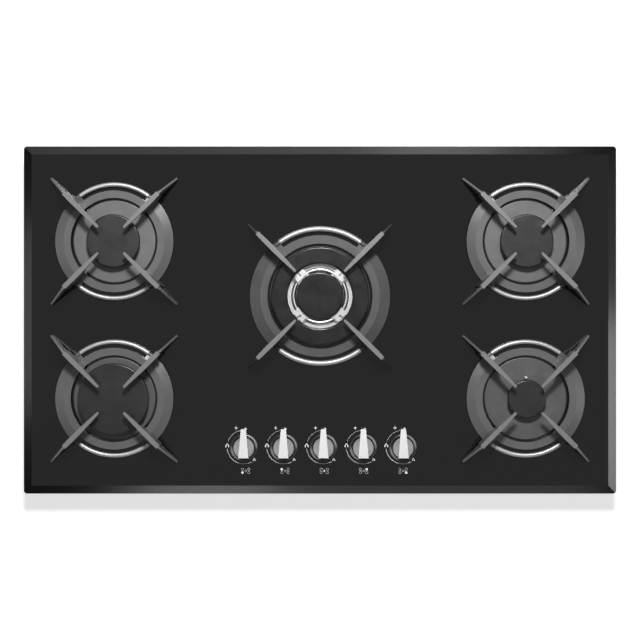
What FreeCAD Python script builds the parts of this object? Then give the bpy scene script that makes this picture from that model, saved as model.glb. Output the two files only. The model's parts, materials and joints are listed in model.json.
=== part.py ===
import FreeCAD, Part
import math
import os
import re
import Sketcher

# Built-in gas cooktop: a bevelled glass panel over a sheet-metal tray, five burners with cast pan
# supports, and five taps that are pushed and turned. Millimetres, +Z up, +Y towards the rear.
# The origin is the middle of the tray's underside.

DRIVING_SIZES = {
    # glass panel
    "glass_length": 870, "glass_width": 510, "glass_thickness": 8, "glass_corner_radius": 5,
    "bevel_width": 12, "bevel_drop": 3,
    # tray under the glass, and the foam gasket that lies on the worktop
    "tray_length": 826, "tray_width": 466, "tray_depth": 52, "tray_sheet": 1, "tray_corner_radius": 6,
    "tray_lip": 12, "gasket_gap": 8, "gasket_strip": 10, "gasket_thickness": 3,
    "bracket_spacing_x": 700, "bracket_spacing_y": 400, "bracket_hole_radius": 2.2,
    # burner places, from the middle of the glass
    "burner_side_offset": 301, "burner_row_offset": 115, "centre_burner_offset": 35,
    # heights over the glass
    "support_height": 45, "drip_plate_thickness": 3, "crown_height": 12, "cap_thickness": 6,
    # burner radii: auxiliary, semi-rapid, rapid and triple crown
    "aux_cap_radius": 28, "aux_neck_radius": 18, "aux_collar_radius": 35, "aux_electrode_reach": 31,
    "semi_cap_radius": 39, "semi_neck_radius": 24, "semi_collar_radius": 40, "semi_electrode_reach": 36,
    "rapid_cap_radius": 52, "rapid_neck_radius": 32, "rapid_collar_radius": 53, "rapid_electrode_reach": 49,
    "triple_cap_radius": 71.5, "triple_neck_radius": 26, "triple_collar_radius": 37,
    "triple_electrode_reach": 31.6, "triple_inner_cap_radius": 34.6, "triple_gap_radius": 47.2,
    "cap_overhang": 6, "crown_wall": 4, "crown_floor": 4, "cup_wall": 4, "collar_thickness": 4,
    "cup_floor": 14, "spigot_depth": 3, "cap_key_depth": 2.5, "cap_key_wall": 2, "cap_edge_radius": 2.5,
    "port_width": 1.8, "port_depth": 4, "aux_port_count": 18, "semi_port_count": 26,
    "rapid_port_count": 36, "triple_port_count": 48,
    "bridge_width": 21, "bridge_crest_width": 17.4, "bridge_rise": 4.5, "bridge_notch_width": 3.4,
    "bridge_notch_depth": 6, "bridge_notch_reach": 39.5, "bridge_side_gap": 1.5,
    "channel_floor": 8, "channel_groove_inner": 42, "channel_groove_outer": 44.5,
    "channel_groove_depth": 3, "channel_land_radius": 3.7, "channel_land_gap": 0.4,
    "corner_drip_radius": 60.4, "centre_drip_radius": 73.3, "drip_edge_radius": 1.5,
    # pan supports: the four corner ones, and the larger one in the centre
    "corner_ring_inner": 63.5, "corner_ring_crease": 73.8, "corner_ring_outer": 86.4,
    "corner_slot_inner": 74.4, "corner_rim_inner": 79.8,
    "corner_tip_radius": 26, "corner_top_reach": 96, "corner_foot_radius": 130.5,
    "centre_ring_inner": 76.8, "centre_ring_crease": 87.4, "centre_ring_outer": 102.4,
    "centre_slot_inner": 89, "centre_rim_inner": 94.3,
    "centre_tip_radius": 49.6, "centre_top_reach": 127.8, "centre_foot_radius": 148.5,
    "arm_middle_width": 7, "arm_end_width": 3.2, "arm_flank_width": 3, "arm_tip_depth": 6.5,
    "arm_knee_run": 3.5,
    "arm_knee_height": 24, "arm_knee_radius": 19.2, "arm_bend_run": 8.5, "arm_bend_height": 38,
    "arm_arch_height": 7,
    "foot_height": 5, "foot_length": 15, "foot_pad_length": 10, "foot_pad_thickness": 2.5,
    "ring_underside": 3, "ring_land_height": 9, "ring_edge_height": 5.5, "ring_recess": 1,
    "rim_shoulder_height": 5.2, "slot_half_angle": 37, "recess_half_angle": 34, "rim_overlap_angle": 4,
    # taps and knobs
    "knob_spacing": 58.3, "knob_row_shift": 5, "knob_row_offset": 187,
    "knob_radius": 15.3, "knob_lift": 5, "knob_disc_thickness": 5, "knob_edge": 0.8,
    "grip_front_reach": 15.2, "grip_rear_reach": 28, "grip_front_width": 15.2, "grip_rear_width": 7.3,
    "grip_height": 22, "grip_rear_height": 17, "grip_front_slope": 1.2,
    "bezel_inner_radius": 16.4, "bezel_outer_radius": 20.2, "bezel_height": 3,
    "stem_radius": 3.5, "stem_blade": 3, "stem_press": 4, "stem_grip_depth": 8,
    "plug_radius": 7, "plug_height": 16, "plug_slot_depth": 11.2,
    "tap_width": 24, "tap_height": 24, "tap_floor": 3, "switch_width": 20, "switch_height": 5,
    # gas way
    "manifold_radius": 8, "manifold_height": 10, "manifold_bend": 25, "tube_wall": 1, "clip_length": 14,
    "pipe_radius": 4, "pipe_height": 31.5, "pipe_bend": 20, "pipe_straight_end": 100,
    "pipe_socket_depth": 8, "pipe_nut_radius": 7, "pipe_nut_length": 8,
    "injector_radius": 4, "injector_thread": 3,
    "injector_head_radius": 5.5, "injector_head": 4,
    "inlet_side_offset": 385, "inlet_rear_offset": 190, "inlet_thread_radius": 10.48,
    "inlet_pipe_height": 34, "inlet_body_radius": 13, "inlet_thread_length": 19, "inlet_opening_radius": 20,
    # rails, ignition and cable gland
    "rail_length": 700, "centre_rail_length": 150, "rail_width": 40, "rail_height": 23, "rail_flange": 12,
    "rail_sheet": 1.5, "screw_radius": 2, "screw_head_radius": 4, "screw_head_height": 2.5,
    "screw_spread": 12, "screw_length": 9,
    "electrode_radius": 2, "electrode_tip_radius": 0.8, "electrode_tip_length": 2.5,
    "electrode_foot_drop": 3, "lead_radius": 1.2, "lead_height": 41, "lead_bend": 5, "lead_spacing": 16,
    "generator_length": 90, "generator_width": 40, "generator_height": 26, "generator_corner": 3,
    "generator_offset": 190,
    "gland_side_offset": 330, "gland_height": 26, "gland_bore_radius": 4, "gland_barrel_radius": 6,
    "gland_flange_radius": 9, "gland_flange_thickness": 4, "gland_length": 16,
    # clearances
    "seat_clearance": 0.3, "running_clearance": 0.1, "glass_clearance": 1,
}

DOC = FreeCAD.newDocument("GasCooktop")
SHEET = DOC.addObject("Spreadsheet::Sheet", "Sizes")
for row, (alias, size) in enumerate(DRIVING_SIZES.items(), start=1):
    SHEET.set(f"A{row}", alias)
    SHEET.set(f"B{row}", str(size))
    SHEET.setAlias(f"B{row}", alias)
DOC.recompute()

# Heights worked out from the driving sizes. Every alias has an underscore, so bind() can find it.
GLASS_TOP = "(tray_depth + glass_thickness)"
DRIP_TOP = "(drip_plate_thickness)"
CAP_SEAT = "(drip_plate_thickness + crown_height)"
CUP_BOTTOM = "(tray_sheet + rail_height)"
TAP_BOTTOM = "(manifold_height + manifold_radius)"
KNOB_Y = "(0 - knob_row_offset)"


def bind(expression):
    """Put the sheet's name before each size in an expression."""
    return re.sub(r"[a-z]\w*_\w+", lambda word: "Sizes." + word.group(), str(expression))


def value(expression):
    return float(SHEET.evalExpression(bind(expression)))


# ---------------------------------------------------------------- drawing helpers

def new_body(name):
    body = DOC.addObject("PartDesign::Body", name)
    body.Label = name
    return body


def place(piece, x="0", y="0", z="0", turn=0):
    piece.Placement = FreeCAD.Placement(FreeCAD.Vector(), FreeCAD.Rotation(FreeCAD.Vector(0, 0, 1), turn))
    for axis, expression in (("x", x), ("y", y), ("z", z)):
        piece.setExpression(f"Placement.Base.{axis}", bind(expression))
    return piece


def side_edge(start, end, radius):
    """A straight side, or an arc whose centre is left of the way from start to end if radius > 0."""
    if not radius:
        return Part.LineSegment(start, end)
    chord = end - start
    reach = math.sqrt(radius ** 2 - (chord.Length / 2) ** 2)
    left = FreeCAD.Vector(-chord.y, chord.x, 0).normalize()
    centre = (start + end) * 0.5 + left * math.copysign(reach, radius)
    circle = Part.Circle(centre, FreeCAD.Vector(0, 0, 1), abs(radius))
    angles = [math.atan2(point.y - centre.y, point.x - centre.x) for point in (start, end)]
    if radius < 0:
        angles.reverse()
    return Part.ArcOfCircle(circle, angles[0], angles[1])


def new_sketch(body, name, plane, lift="0", turn=0):
    sketch = body.newObject("Sketcher::SketchObject", name)
    role = {"XY": "XY_Plane", "XZ": "XZ_Plane", "YZ": "YZ_Plane"}[plane]
    origin_plane = [item for item in body.Origin.OriginFeatures if item.Role == role][0]
    sketch.AttachmentSupport = [(origin_plane, "")]
    sketch.MapMode = "FlatFace"
    if turn:
        sketch.AttachmentOffset = FreeCAD.Placement(
            FreeCAD.Vector(), FreeCAD.Rotation(FreeCAD.Vector(0, 1, 0), turn))
    sketch.setExpression("AttachmentOffset.Base.z", bind(lift))
    return sketch


def hold_point(sketch, geometry, end, x, y):
    """Tie one end of a line or arc to its two expressions."""
    for axis, direction, expression in ((-2, "DistanceX", x), (-1, "DistanceY", y)):
        size = value(expression)
        if abs(size) < 1e-9:
            sketch.addConstraint(Sketcher.Constraint("PointOnObject", geometry, end, axis))
        else:
            rule = Sketcher.Constraint(direction, -1, 1, geometry, end, size)
            number = sketch.addConstraint(rule)
            sketch.setExpression(f"Constraints[{number}]", bind(expression))


def draw_outline(sketch, corners):
    """Close an outline through corners (x, y) or (x, y, radius), the radius for the side that follows."""
    points = [FreeCAD.Vector(value(corner[0]), value(corner[1]), 0) for corner in corners]
    radii = [value(corner[2]) if len(corner) > 2 else 0 for corner in corners]
    count = len(corners)
    first = sketch.GeometryCount
    for index in range(count):
        sketch.addGeometry(side_edge(points[index], points[(index + 1) % count], radii[index]))
    starts = [2 if radius < 0 else 1 for radius in radii]
    for index in range(count):
        following = (index + 1) % count
        sketch.addConstraint(Sketcher.Constraint(
            "Coincident", first + index, 3 - starts[index], first + following, starts[following]))
    for index, corner in enumerate(corners):
        hold_point(sketch, first + index, starts[index], corner[0], corner[1])
        if radii[index]:
            number = sketch.addConstraint(Sketcher.Constraint("Radius", first + index, abs(radii[index])))
            sketch.setExpression(f"Constraints[{number}]", bind(f"abs({corner[2]})"))


def draw_circle(sketch, x, y, radius):
    centre = FreeCAD.Vector(value(x), value(y), 0)
    circle = sketch.addGeometry(Part.Circle(centre, FreeCAD.Vector(0, 0, 1), value(radius)))
    hold_point(sketch, circle, 3, x, y)
    number = sketch.addConstraint(Sketcher.Constraint("Radius", circle, value(radius)))
    sketch.setExpression(f"Constraints[{number}]", bind(radius))


def rectangle(x, y, length, width, radius=None):
    """Corners of a centred rectangle, with rounded corners if a radius is given."""
    left, right = f"({x}) - ({length}) / 2", f"({x}) + ({length}) / 2"
    front, rear = f"({y}) - ({width}) / 2", f"({y}) + ({width}) / 2"
    if radius is None:
        return [(left, front), (right, front), (right, rear), (left, rear)]
    return [
        (f"{left} + {radius}", front), (f"{right} - {radius}", front, radius),
        (right, f"{front} + {radius}"), (right, f"{rear} - {radius}", radius),
        (f"{right} - {radius}", rear), (f"{left} + {radius}", rear, radius),
        (left, f"{rear} - {radius}"), (left, f"{front} + {radius}", radius)]


def sector(inner, outer, middle_angle, half_angle):
    """Corners of a ring sector around the origin."""
    low, high = f"({middle_angle} - {half_angle})", f"({middle_angle} + {half_angle})"
    return [
        (f"{inner} * cos({low} * 1deg)", f"{inner} * sin({low} * 1deg)"),
        (f"{outer} * cos({low} * 1deg)", f"{outer} * sin({low} * 1deg)", outer),
        (f"{outer} * cos({high} * 1deg)", f"{outer} * sin({high} * 1deg)"),
        (f"{inner} * cos({high} * 1deg)", f"{inner} * sin({high} * 1deg)", f"0 - {inner}")]


def extrude(body, kind, name, sketch, length, symmetric=False, upwards=True):
    """Pad or Pocket. A pocket cuts downwards by itself, so upwards turns it round."""
    feature = body.newObject(f"PartDesign::{kind}", name)
    feature.Profile = sketch
    feature.setExpression("Length", bind(length))
    if symmetric:
        feature.SideType = "Symmetric"
    elif kind == "Pocket":
        feature.Reversed = upwards
    return feature


def revolve(body, name, corners, kind="Revolution"):
    sketch = new_sketch(body, name + "_profile", "XZ")
    draw_outline(sketch, corners)
    feature = body.newObject(f"PartDesign::{kind}", name)
    feature.Profile = sketch
    feature.ReferenceAxis = (sketch, ["V_Axis"])
    feature.Angle = 360
    return feature


def polar_pattern(body, name, features, sketch, count):
    pattern = body.newObject("PartDesign::PolarPattern", name)
    pattern.Originals = features
    pattern.Axis = (sketch, ["N_Axis"])
    pattern.Angle = 360
    pattern.setExpression("Occurrences", bind(count))
    body.Tip = pattern
    return pattern


def group(name, pieces):
    """Separate solids of one kind that share a node."""
    compound = DOC.addObject("Part::Compound", name)
    compound.Label = name
    compound.Links = pieces
    return compound


def cylinder(name, radius, height, x="0", y="0", z="0"):
    piece = DOC.addObject("Part::Cylinder", name)
    piece.setExpression("Radius", bind(radius))
    piece.setExpression("Height", bind(height))
    return place(piece, x, y, z)


def box(name, length, width, height, x="0", y="0", z="0"):
    """A box centred on x and y, standing on z."""
    piece = DOC.addObject("Part::Box", name)
    for side, size in (("Length", length), ("Width", width), ("Height", height)):
        piece.setExpression(side, bind(size))
    return place(piece, f"({x}) - ({length}) / 2", f"({y}) - ({width}) / 2", z)


def fuse(name, pieces):
    result = DOC.addObject("Part::MultiFuse", name)
    result.Shapes = pieces
    return result


def cut(name, base, tool):
    result = DOC.addObject("Part::Cut", name)
    result.Base = base
    result.Tool = tool
    return result


def bent_path(points, bend):
    """Straight runs through the points, joined by tangent arcs of the bend radius."""
    edges = []
    start = points[0]
    for before, corner, after in zip(points, points[1:], points[2:]):
        arriving, leaving = (corner - before).normalize(), (after - corner).normalize()
        turn = arriving.getAngle(leaving)
        cut_back = bend * math.tan(turn / 2)
        arc_start, arc_end = corner - arriving * cut_back, corner + leaving * cut_back
        inwards = (leaving - arriving).normalize()
        middle = corner + inwards * (bend / math.cos(turn / 2) - bend)
        edges.append(Part.LineSegment(start, arc_start).toShape())
        edges.append(Part.Arc(arc_start, middle, arc_end).toShape())
        start = arc_end
    edges.append(Part.LineSegment(start, points[-1]).toShape())
    return Part.Wire(edges)


def bent_rod(points, radius, bend):
    heading = points[1] - points[0]
    section = Part.Wire([Part.Circle(points[0], heading, radius).toShape()])
    return bent_path(points, bend).makePipeShell([section], True, False)


def routed(name, shape):
    piece = DOC.addObject("Part::Feature", name)
    piece.Label = name
    piece.Shape = shape
    piece.Placement = FreeCAD.Placement()
    return piece


# ---------------------------------------------------------------- burner and tap places

# Each burner: its place, its size class, its pan support, and the side its gas pipe comes from.
BURNERS = {
    "rear_left": ("(0 - burner_side_offset)", "burner_row_offset", "semi", "corner", 0),
    "rear_right": ("burner_side_offset", "burner_row_offset", "semi", "corner", 180),
    "front_left": ("(0 - burner_side_offset)", "(0 - burner_row_offset)", "rapid", "corner", 0),
    "front_right": ("burner_side_offset", "(0 - burner_row_offset)", "aux", "corner", 180),
    "centre": ("0", "centre_burner_offset", "triple", "centre", 270),
}

# The tap row from left to right, each named for its burner.
TAP_ROW = ("front_left", "rear_left", "centre", "rear_right", "front_right")
KNOB_X = {
    burner: f"(knob_row_shift + ({place_in_row - 2}) * knob_spacing)"
    for place_in_row, burner in enumerate(TAP_ROW)
}


# ---------------------------------------------------------------- glass, gasket and tray

def glass_panel():
    body = new_body("glass_panel")
    sketch = new_sketch(body, "glass_plan", "XY")
    draw_outline(sketch, rectangle("0", "0", "glass_length", "glass_width"))
    slab = extrude(body, "Pad", "glass_slab", sketch, "glass_thickness")
    DOC.recompute()
    top = max(range(len(slab.Shape.Faces)), key=lambda index: slab.Shape.Faces[index].CenterOfMass.z)
    bevel = body.newObject("PartDesign::Chamfer", "glass_bevel")
    bevel.Base = (slab, [f"Face{top + 1}"])
    bevel.ChamferType = "Two distances"
    bevel.setExpression("Size", bind("bevel_drop"))
    bevel.setExpression("Size2", bind("bevel_width"))
    body.Tip = bevel
    rounding = new_sketch(body, "glass_corners", "XY")
    draw_outline(rounding, rectangle("0", "0", "glass_length + tray_depth", "glass_width + tray_depth"))
    draw_outline(rounding, rectangle("0", "0", "glass_length", "glass_width", "glass_corner_radius"))
    extrude(body, "Pocket", "glass_corner_cut", rounding, "glass_thickness")
    holes = new_sketch(body, "glass_holes", "XY")
    for x, y, size, _, _ in BURNERS.values():
        draw_circle(holes, x, y, f"{size}_collar_radius + glass_clearance")
    for x in KNOB_X.values():
        draw_circle(holes, x, KNOB_Y, "stem_radius + 2 * glass_clearance")
    extrude(body, "Pocket", "glass_hole_cut", holes, "glass_thickness")
    return place(body, z="tray_depth")


def worktop_gasket():
    """Frame of foam strip that lies round the tray, with a gap to it."""
    body = new_body("worktop_gasket")
    sketch = new_sketch(body, "gasket_plan", "XY")
    inner = ("tray_length + 2 * gasket_gap", "tray_width + 2 * gasket_gap")
    draw_outline(sketch, rectangle("0", "0", *inner))
    draw_outline(sketch, rectangle("0", "0", *(f"{side} + 2 * gasket_strip" for side in inner)))
    extrude(body, "Pad", "gasket_strip_pad", sketch, "gasket_thickness")
    return place(body, z="tray_depth - gasket_thickness")


def bottom_tray():
    body = new_body("bottom_tray")
    inner = ("tray_length - 2 * tray_sheet", "tray_width - 2 * tray_sheet", "tray_corner_radius - tray_sheet")
    outside = new_sketch(body, "tray_plan", "XY")
    draw_outline(outside, rectangle("0", "0", "tray_length", "tray_width", "tray_corner_radius"))
    extrude(body, "Pad", "tray_block", outside, "tray_depth")
    inside = new_sketch(body, "tray_cavity_plan", "XY", "tray_sheet")
    draw_outline(inside, rectangle("0", "0", *inner))
    extrude(body, "Pocket", "tray_cavity", inside, "tray_depth")
    lip = new_sketch(body, "tray_lip_plan", "XY", "tray_depth - tray_sheet")
    draw_outline(lip, rectangle(
        "0", "0", "tray_length - tray_sheet", "tray_width - tray_sheet", "tray_corner_radius"))
    draw_outline(lip, rectangle("0", "0", "tray_length - 2 * tray_lip", "tray_width - 2 * tray_lip"))
    extrude(body, "Pad", "tray_lip_pad", lip, "tray_sheet")
    floor = new_sketch(body, "tray_floor_holes", "XY")
    for x in ("bracket_spacing_x / 2", "0 - bracket_spacing_x / 2"):
        for y in ("bracket_spacing_y / 2", "0 - bracket_spacing_y / 2"):
            draw_circle(floor, x, y, "bracket_hole_radius")
    draw_circle(floor, "inlet_side_offset", "inlet_rear_offset", "inlet_opening_radius")
    extrude(body, "Pocket", "tray_floor_cut", floor, "2 * tray_sheet")
    wall = new_sketch(body, "tray_wall_hole", "XZ", "0 - tray_width / 2")
    draw_circle(wall, "0 - gland_side_offset", "gland_height", "gland_barrel_radius")
    extrude(body, "Pocket", "tray_wall_cut", wall, "4 * tray_sheet", symmetric=True)
    return place(body)


# ---------------------------------------------------------------- pan supports

def arm_features(body, size):
    """One arm along +X: a lens-shaped web, cut to its side outline, and repeated four times."""
    tip, reach, foot = f"{size}_tip_radius", f"{size}_top_reach", f"{size}_foot_radius"
    inner, outer = f"{size}_ring_inner", f"{size}_ring_outer"
    bulge = "((arm_middle_width - arm_end_width) / 2)"
    lens = f"(({foot} - {tip}) ^ 2 / (8 * {bulge}) + {bulge} / 2)"
    plan = new_sketch(body, "arm_plan", "XY", "foot_pad_thickness")
    draw_outline(plan, [
        (tip, "0 - arm_end_width / 2", lens), (foot, "0 - arm_end_width / 2"),
        (foot, "arm_end_width / 2", lens), (tip, "arm_end_width / 2")])
    web = extrude(body, "Pad", "arm_web", plan, "support_height - foot_pad_thickness")
    outline = new_sketch(body, "arm_side", "XZ")
    draw_outline(outline, [  # outer slope
        (reach, "support_height"), (foot, "foot_pad_thickness + foot_height"),
        (f"{foot} + 1", "foot_pad_thickness + foot_height"), (f"{foot} + 1", "support_height + 1"),
        (reach, "support_height + 1")])
    draw_outline(outline, [  # space under the finger
        (f"{tip} - 1", "0"), (inner, "0"), (inner, "ring_land_height"),
        (f"{inner} - arm_knee_run", "arm_knee_height", "arm_knee_radius"),
        (f"{inner} - arm_bend_run", "arm_bend_height"),
        (tip, "support_height - arm_tip_depth"), (f"{tip} - 1", "support_height - arm_tip_depth")])
    draw_outline(outline, [  # arch between the ring and the foot
        (outer, "0"), (f"{foot} - foot_length", "0"), (f"{foot} - foot_length", "foot_pad_thickness"),
        (f"{foot} - foot_length - foot_height", "arm_arch_height"), (outer, "arm_arch_height")])
    side = extrude(body, "Pocket", "arm_side_cut", outline, "arm_middle_width + 2", symmetric=True)
    # past the flat top the web is a thin blade down to the foot
    flanks = new_sketch(body, "arm_flank_plan", "XY")
    away = "(arm_flank_width / 2 + arm_middle_width / 4)"
    for y in (away, f"0 - {away}"):
        draw_outline(flanks, rectangle(
            f"({reach} + {foot} + 2) / 2", y, f"{foot} - {reach} + 2", "arm_middle_width / 2"))
    flank = extrude(body, "Pocket", "arm_flank_cut", flanks, "support_height + 1")
    return polar_pattern(body, "arm_pattern", [web, side, flank], plan, "4")


def pan_support(name, x, y, size):
    """Ring with four arms. The arms lie on local X and Y, and the piece is turned by 45 degrees."""
    body = new_body(f"{name}_pan_support")
    inner, crease, outer = f"{size}_ring_inner", f"{size}_ring_crease", f"{size}_ring_outer"
    slot, rim = f"{size}_slot_inner", f"{size}_rim_inner"
    arm_features(body, size)
    revolve(body, "ring", [
        (inner, "ring_underside"), (outer, "ring_underside"), (outer, "ring_edge_height"),
        (crease, "ring_land_height"), (inner, "ring_land_height")])
    slots = new_sketch(body, "slot_plan", "XY")
    recesses = new_sketch(body, "recess_plan", "XY", "ring_land_height")
    for middle_angle in (45, 225):
        draw_outline(slots, sector(slot, f"({outer} + 1)", middle_angle, "slot_half_angle"))
        draw_outline(recesses, sector(f"({inner} - 1)", f"({slot} + 0.5)", middle_angle, "recess_half_angle"))
    extrude(body, "Pocket", "slot_cut", slots, "3 * ring_land_height", symmetric=True)
    extrude(body, "Pocket", "recess_cut", recesses, "2 * ring_recess", symmetric=True)
    bar = new_sketch(body, "rim_profile", "XZ", turn=45)
    half_bar = f"(({outer} - {rim}) / 2)"
    draw_outline(bar, [
        (rim, "ring_underside"), (outer, "ring_underside"), (outer, "rim_shoulder_height", half_bar),
        (f"{outer} - {half_bar}", f"rim_shoulder_height + {half_bar}", half_bar),
        (rim, "rim_shoulder_height")])
    rim_bar = body.newObject("PartDesign::Revolution", "rim_bar")
    rim_bar.Profile = bar
    rim_bar.ReferenceAxis = (bar, ["V_Axis"])
    rim_bar.Midplane = True
    rim_bar.setExpression("Angle", bind("2 * (slot_half_angle + rim_overlap_angle)"))
    polar_pattern(body, "rim_pattern", [rim_bar], slots, "2")
    return place(body, x, y, GLASS_TOP, turn=45)


def support_pads(name, x, y, size):
    """Four rubber pads between the feet and the glass."""
    pads = []
    for quarter in range(4):
        across = (1, 0, -1, 0)[quarter]
        along = (0, 1, 0, -1)[quarter]
        middle = f"({size}_foot_radius - foot_length / 2)"
        length = "foot_pad_length" if across else "arm_end_width"
        width = "arm_end_width" if across else "foot_pad_length"
        pads.append(box(
            f"{name}_pad_{quarter + 1}", length, width, "foot_pad_thickness",
            f"{middle} * ({across})", f"{middle} * ({along})"))
    return place(group(f"{name}_support_pads", pads), x, y, GLASS_TOP, turn=45)


# ---------------------------------------------------------------- burners

def round_cap(name, radius, x, y):
    """Enamelled cap with a ring underneath that keys into the crown."""
    body = new_body(name)
    key = f"({radius} - cap_overhang - crown_wall - seat_clearance)"
    revolve(body, "cap", [
        ("0", "0"), (f"{key} - cap_key_wall", "0"), (f"{key} - cap_key_wall", "0 - cap_key_depth"),
        (key, "0 - cap_key_depth"), (key, "0"), (f"{radius} - 1", "0"), (radius, "1"),
        (radius, "cap_thickness - cap_edge_radius", "cap_edge_radius"),
        (f"{radius} - cap_edge_radius", "cap_thickness"), ("0", "cap_thickness")])
    return place(body, x, y, f"{GLASS_TOP} + {CAP_SEAT}")


def ring_cap(name, x, y):
    """Outer cap of the triple crown, keyed into the ring-shaped chamber."""
    body = new_body(name)
    inner, outer = "triple_gap_radius", "triple_cap_radius"
    key_in = f"({inner} + cap_overhang + crown_wall + seat_clearance)"
    key_out = f"({outer} - cap_overhang - crown_wall - seat_clearance)"
    revolve(body, "cap", [
        (f"{inner} + 1", "0"), (key_in, "0"), (key_in, "0 - cap_key_depth"), (key_out, "0 - cap_key_depth"),
        (key_out, "0"), (f"{outer} - 1", "0"), (outer, "1"),
        (outer, "cap_thickness - cap_edge_radius", "cap_edge_radius"),
        (f"{outer} - cap_edge_radius", "cap_thickness"),
        (f"{inner} + cap_edge_radius", "cap_thickness", "cap_edge_radius"),
        (inner, "cap_thickness - cap_edge_radius"), (inner, "1")])
    return place(body, x, y, f"{GLASS_TOP} + {CAP_SEAT}")


def flame_ports(body, name, radius, count):
    """Radial slots through the top of a crown's wall."""
    sketch = new_sketch(body, name + "_plan", "XY", "crown_height")
    draw_outline(sketch, rectangle(f"{radius} - crown_wall / 2", "0", "crown_wall + 2", "port_width"))
    port = extrude(body, "Pocket", name, sketch, "2 * port_depth", symmetric=True)
    return polar_pattern(body, name + "_pattern", [port], sketch, count)


def burner_crown(name, x, y, size):
    """Cast crown: outer wall with flame ports, a floor with the throat, and a spigot into the cup."""
    body = new_body(f"{name}_burner_crown")
    wall = f"({size}_cap_radius - cap_overhang)"
    spigot = f"({size}_neck_radius - cup_wall - seat_clearance)"
    throat = f"({spigot} - crown_wall)"
    revolve(body, "crown", [
        (throat, "0 - spigot_depth"), (spigot, "0 - spigot_depth"), (spigot, "0"), (wall, "0"),
        (wall, "crown_height"), (f"{wall} - crown_wall", "crown_height"),
        (f"{wall} - crown_wall", "crown_floor"), (throat, "crown_floor")])
    flame_ports(body, "ports", wall, f"{size}_port_count")
    return place(body, x, y, f"{GLASS_TOP} + {DRIP_TOP}")


def triple_crown(name, x, y):
    """Cast crown with an inner round chamber, a ring chamber, and four bridges over the gap between."""
    body = new_body(f"{name}_burner_crown")
    wall = "(triple_cap_radius - cap_overhang)"
    gap_wall = "(triple_gap_radius + cap_overhang)"
    inner_wall = "(triple_inner_cap_radius - cap_overhang)"
    spigot = "(triple_neck_radius - cup_wall - seat_clearance)"
    throat = f"({spigot} - crown_wall)"
    revolve(body, "crown", [
        (throat, "0 - spigot_depth"), (spigot, "0 - spigot_depth"), (spigot, "0"), (wall, "0"),
        (wall, "crown_height"), (f"{wall} - crown_wall", "crown_height"),
        (f"{wall} - crown_wall", "crown_floor"), (f"{gap_wall} + crown_wall", "crown_floor"),
        (f"{gap_wall} + crown_wall", "crown_height"), (gap_wall, "crown_height"),
        (gap_wall, "channel_floor"), ("channel_groove_outer", "channel_floor"),
        ("channel_groove_outer", "channel_floor - channel_groove_depth"),
        ("channel_groove_inner", "channel_floor - channel_groove_depth"),
        ("channel_groove_inner", "channel_floor", "channel_land_radius"),
        ("triple_inner_cap_radius + channel_land_gap", "channel_floor"),
        (inner_wall, "channel_floor"), (inner_wall, "crown_height"),
        (f"{inner_wall} - crown_wall", "crown_height"), (f"{inner_wall} - crown_wall", "crown_floor"),
        (throat, "crown_floor")])
    low = new_sketch(body, "bridge_plan", "XY", "channel_floor - channel_groove_depth - 1")
    draw_outline(low, rectangle(
        f"({inner_wall} + {gap_wall}) / 2", "0", f"{gap_wall} - {inner_wall} + 1", "bridge_width"))
    base = extrude(
        body, "Pad", "bridge_base", low, "crown_height - channel_floor + channel_groove_depth + 1")
    high = new_sketch(body, "bridge_top_plan", "XY", "crown_height - 1")
    draw_outline(high, rectangle(
        "(triple_inner_cap_radius + triple_gap_radius) / 2", "0",
        "triple_gap_radius - triple_inner_cap_radius - 2 * bridge_side_gap", "bridge_crest_width"))
    crest = extrude(body, "Pad", "bridge_crest", high, "bridge_rise + 1")
    # a notch with a round end, open to the outside, parts the crest into two blocks
    notch_plan = new_sketch(body, "bridge_notch_plan", "XY", "crown_height + bridge_rise")
    half = "(bridge_notch_width / 2)"
    draw_outline(notch_plan, [
        (f"bridge_notch_reach + {half}", f"0 - {half}"), ("triple_gap_radius", f"0 - {half}"),
        ("triple_gap_radius", half), (f"bridge_notch_reach + {half}", half, half),
        ("bridge_notch_reach", "0", half)])
    notch = extrude(body, "Pocket", "bridge_notch", notch_plan, "2 * bridge_notch_depth", symmetric=True)
    polar_pattern(body, "bridge_pattern", [base, crest, notch], low, "4")
    flame_ports(body, "ports", wall, "triple_port_count")
    # the way for the spark electrode through the floor of the gap, at the rear of the burner
    way = new_sketch(body, "electrode_way_plan", "XY")
    draw_circle(
        way, "triple_electrode_reach * cos(45deg)", "triple_electrode_reach * sin(45deg)",
        "electrode_radius + 2 * seat_clearance")
    extrude(body, "Pocket", "electrode_way", way, "2 * channel_floor + 2", symmetric=True)
    return place(body, x, y, f"{GLASS_TOP} + {DRIP_TOP}", turn=45)


def drip_plate(name, x, y, size, support):
    """Round plate that hides the edge of the glass hole, with a hole for the electrode."""
    body = new_body(f"{name}_drip_plate")
    radius = f"{support}_drip_radius"
    revolve(body, "plate", [
        (f"{size}_neck_radius - cup_wall", "0"), (radius, "0"),
        (radius, "drip_plate_thickness - drip_edge_radius", "drip_edge_radius"),
        (f"{radius} - drip_edge_radius", "drip_plate_thickness"),
        (f"{size}_neck_radius - cup_wall", "drip_plate_thickness")])
    sketch = new_sketch(body, "electrode_hole_plan", "XY")
    draw_circle(sketch, "0", f"{size}_electrode_reach", "electrode_radius + seat_clearance")
    extrude(body, "Pocket", "electrode_hole", sketch, "drip_plate_thickness")
    return place(body, x, y, GLASS_TOP)


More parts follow.
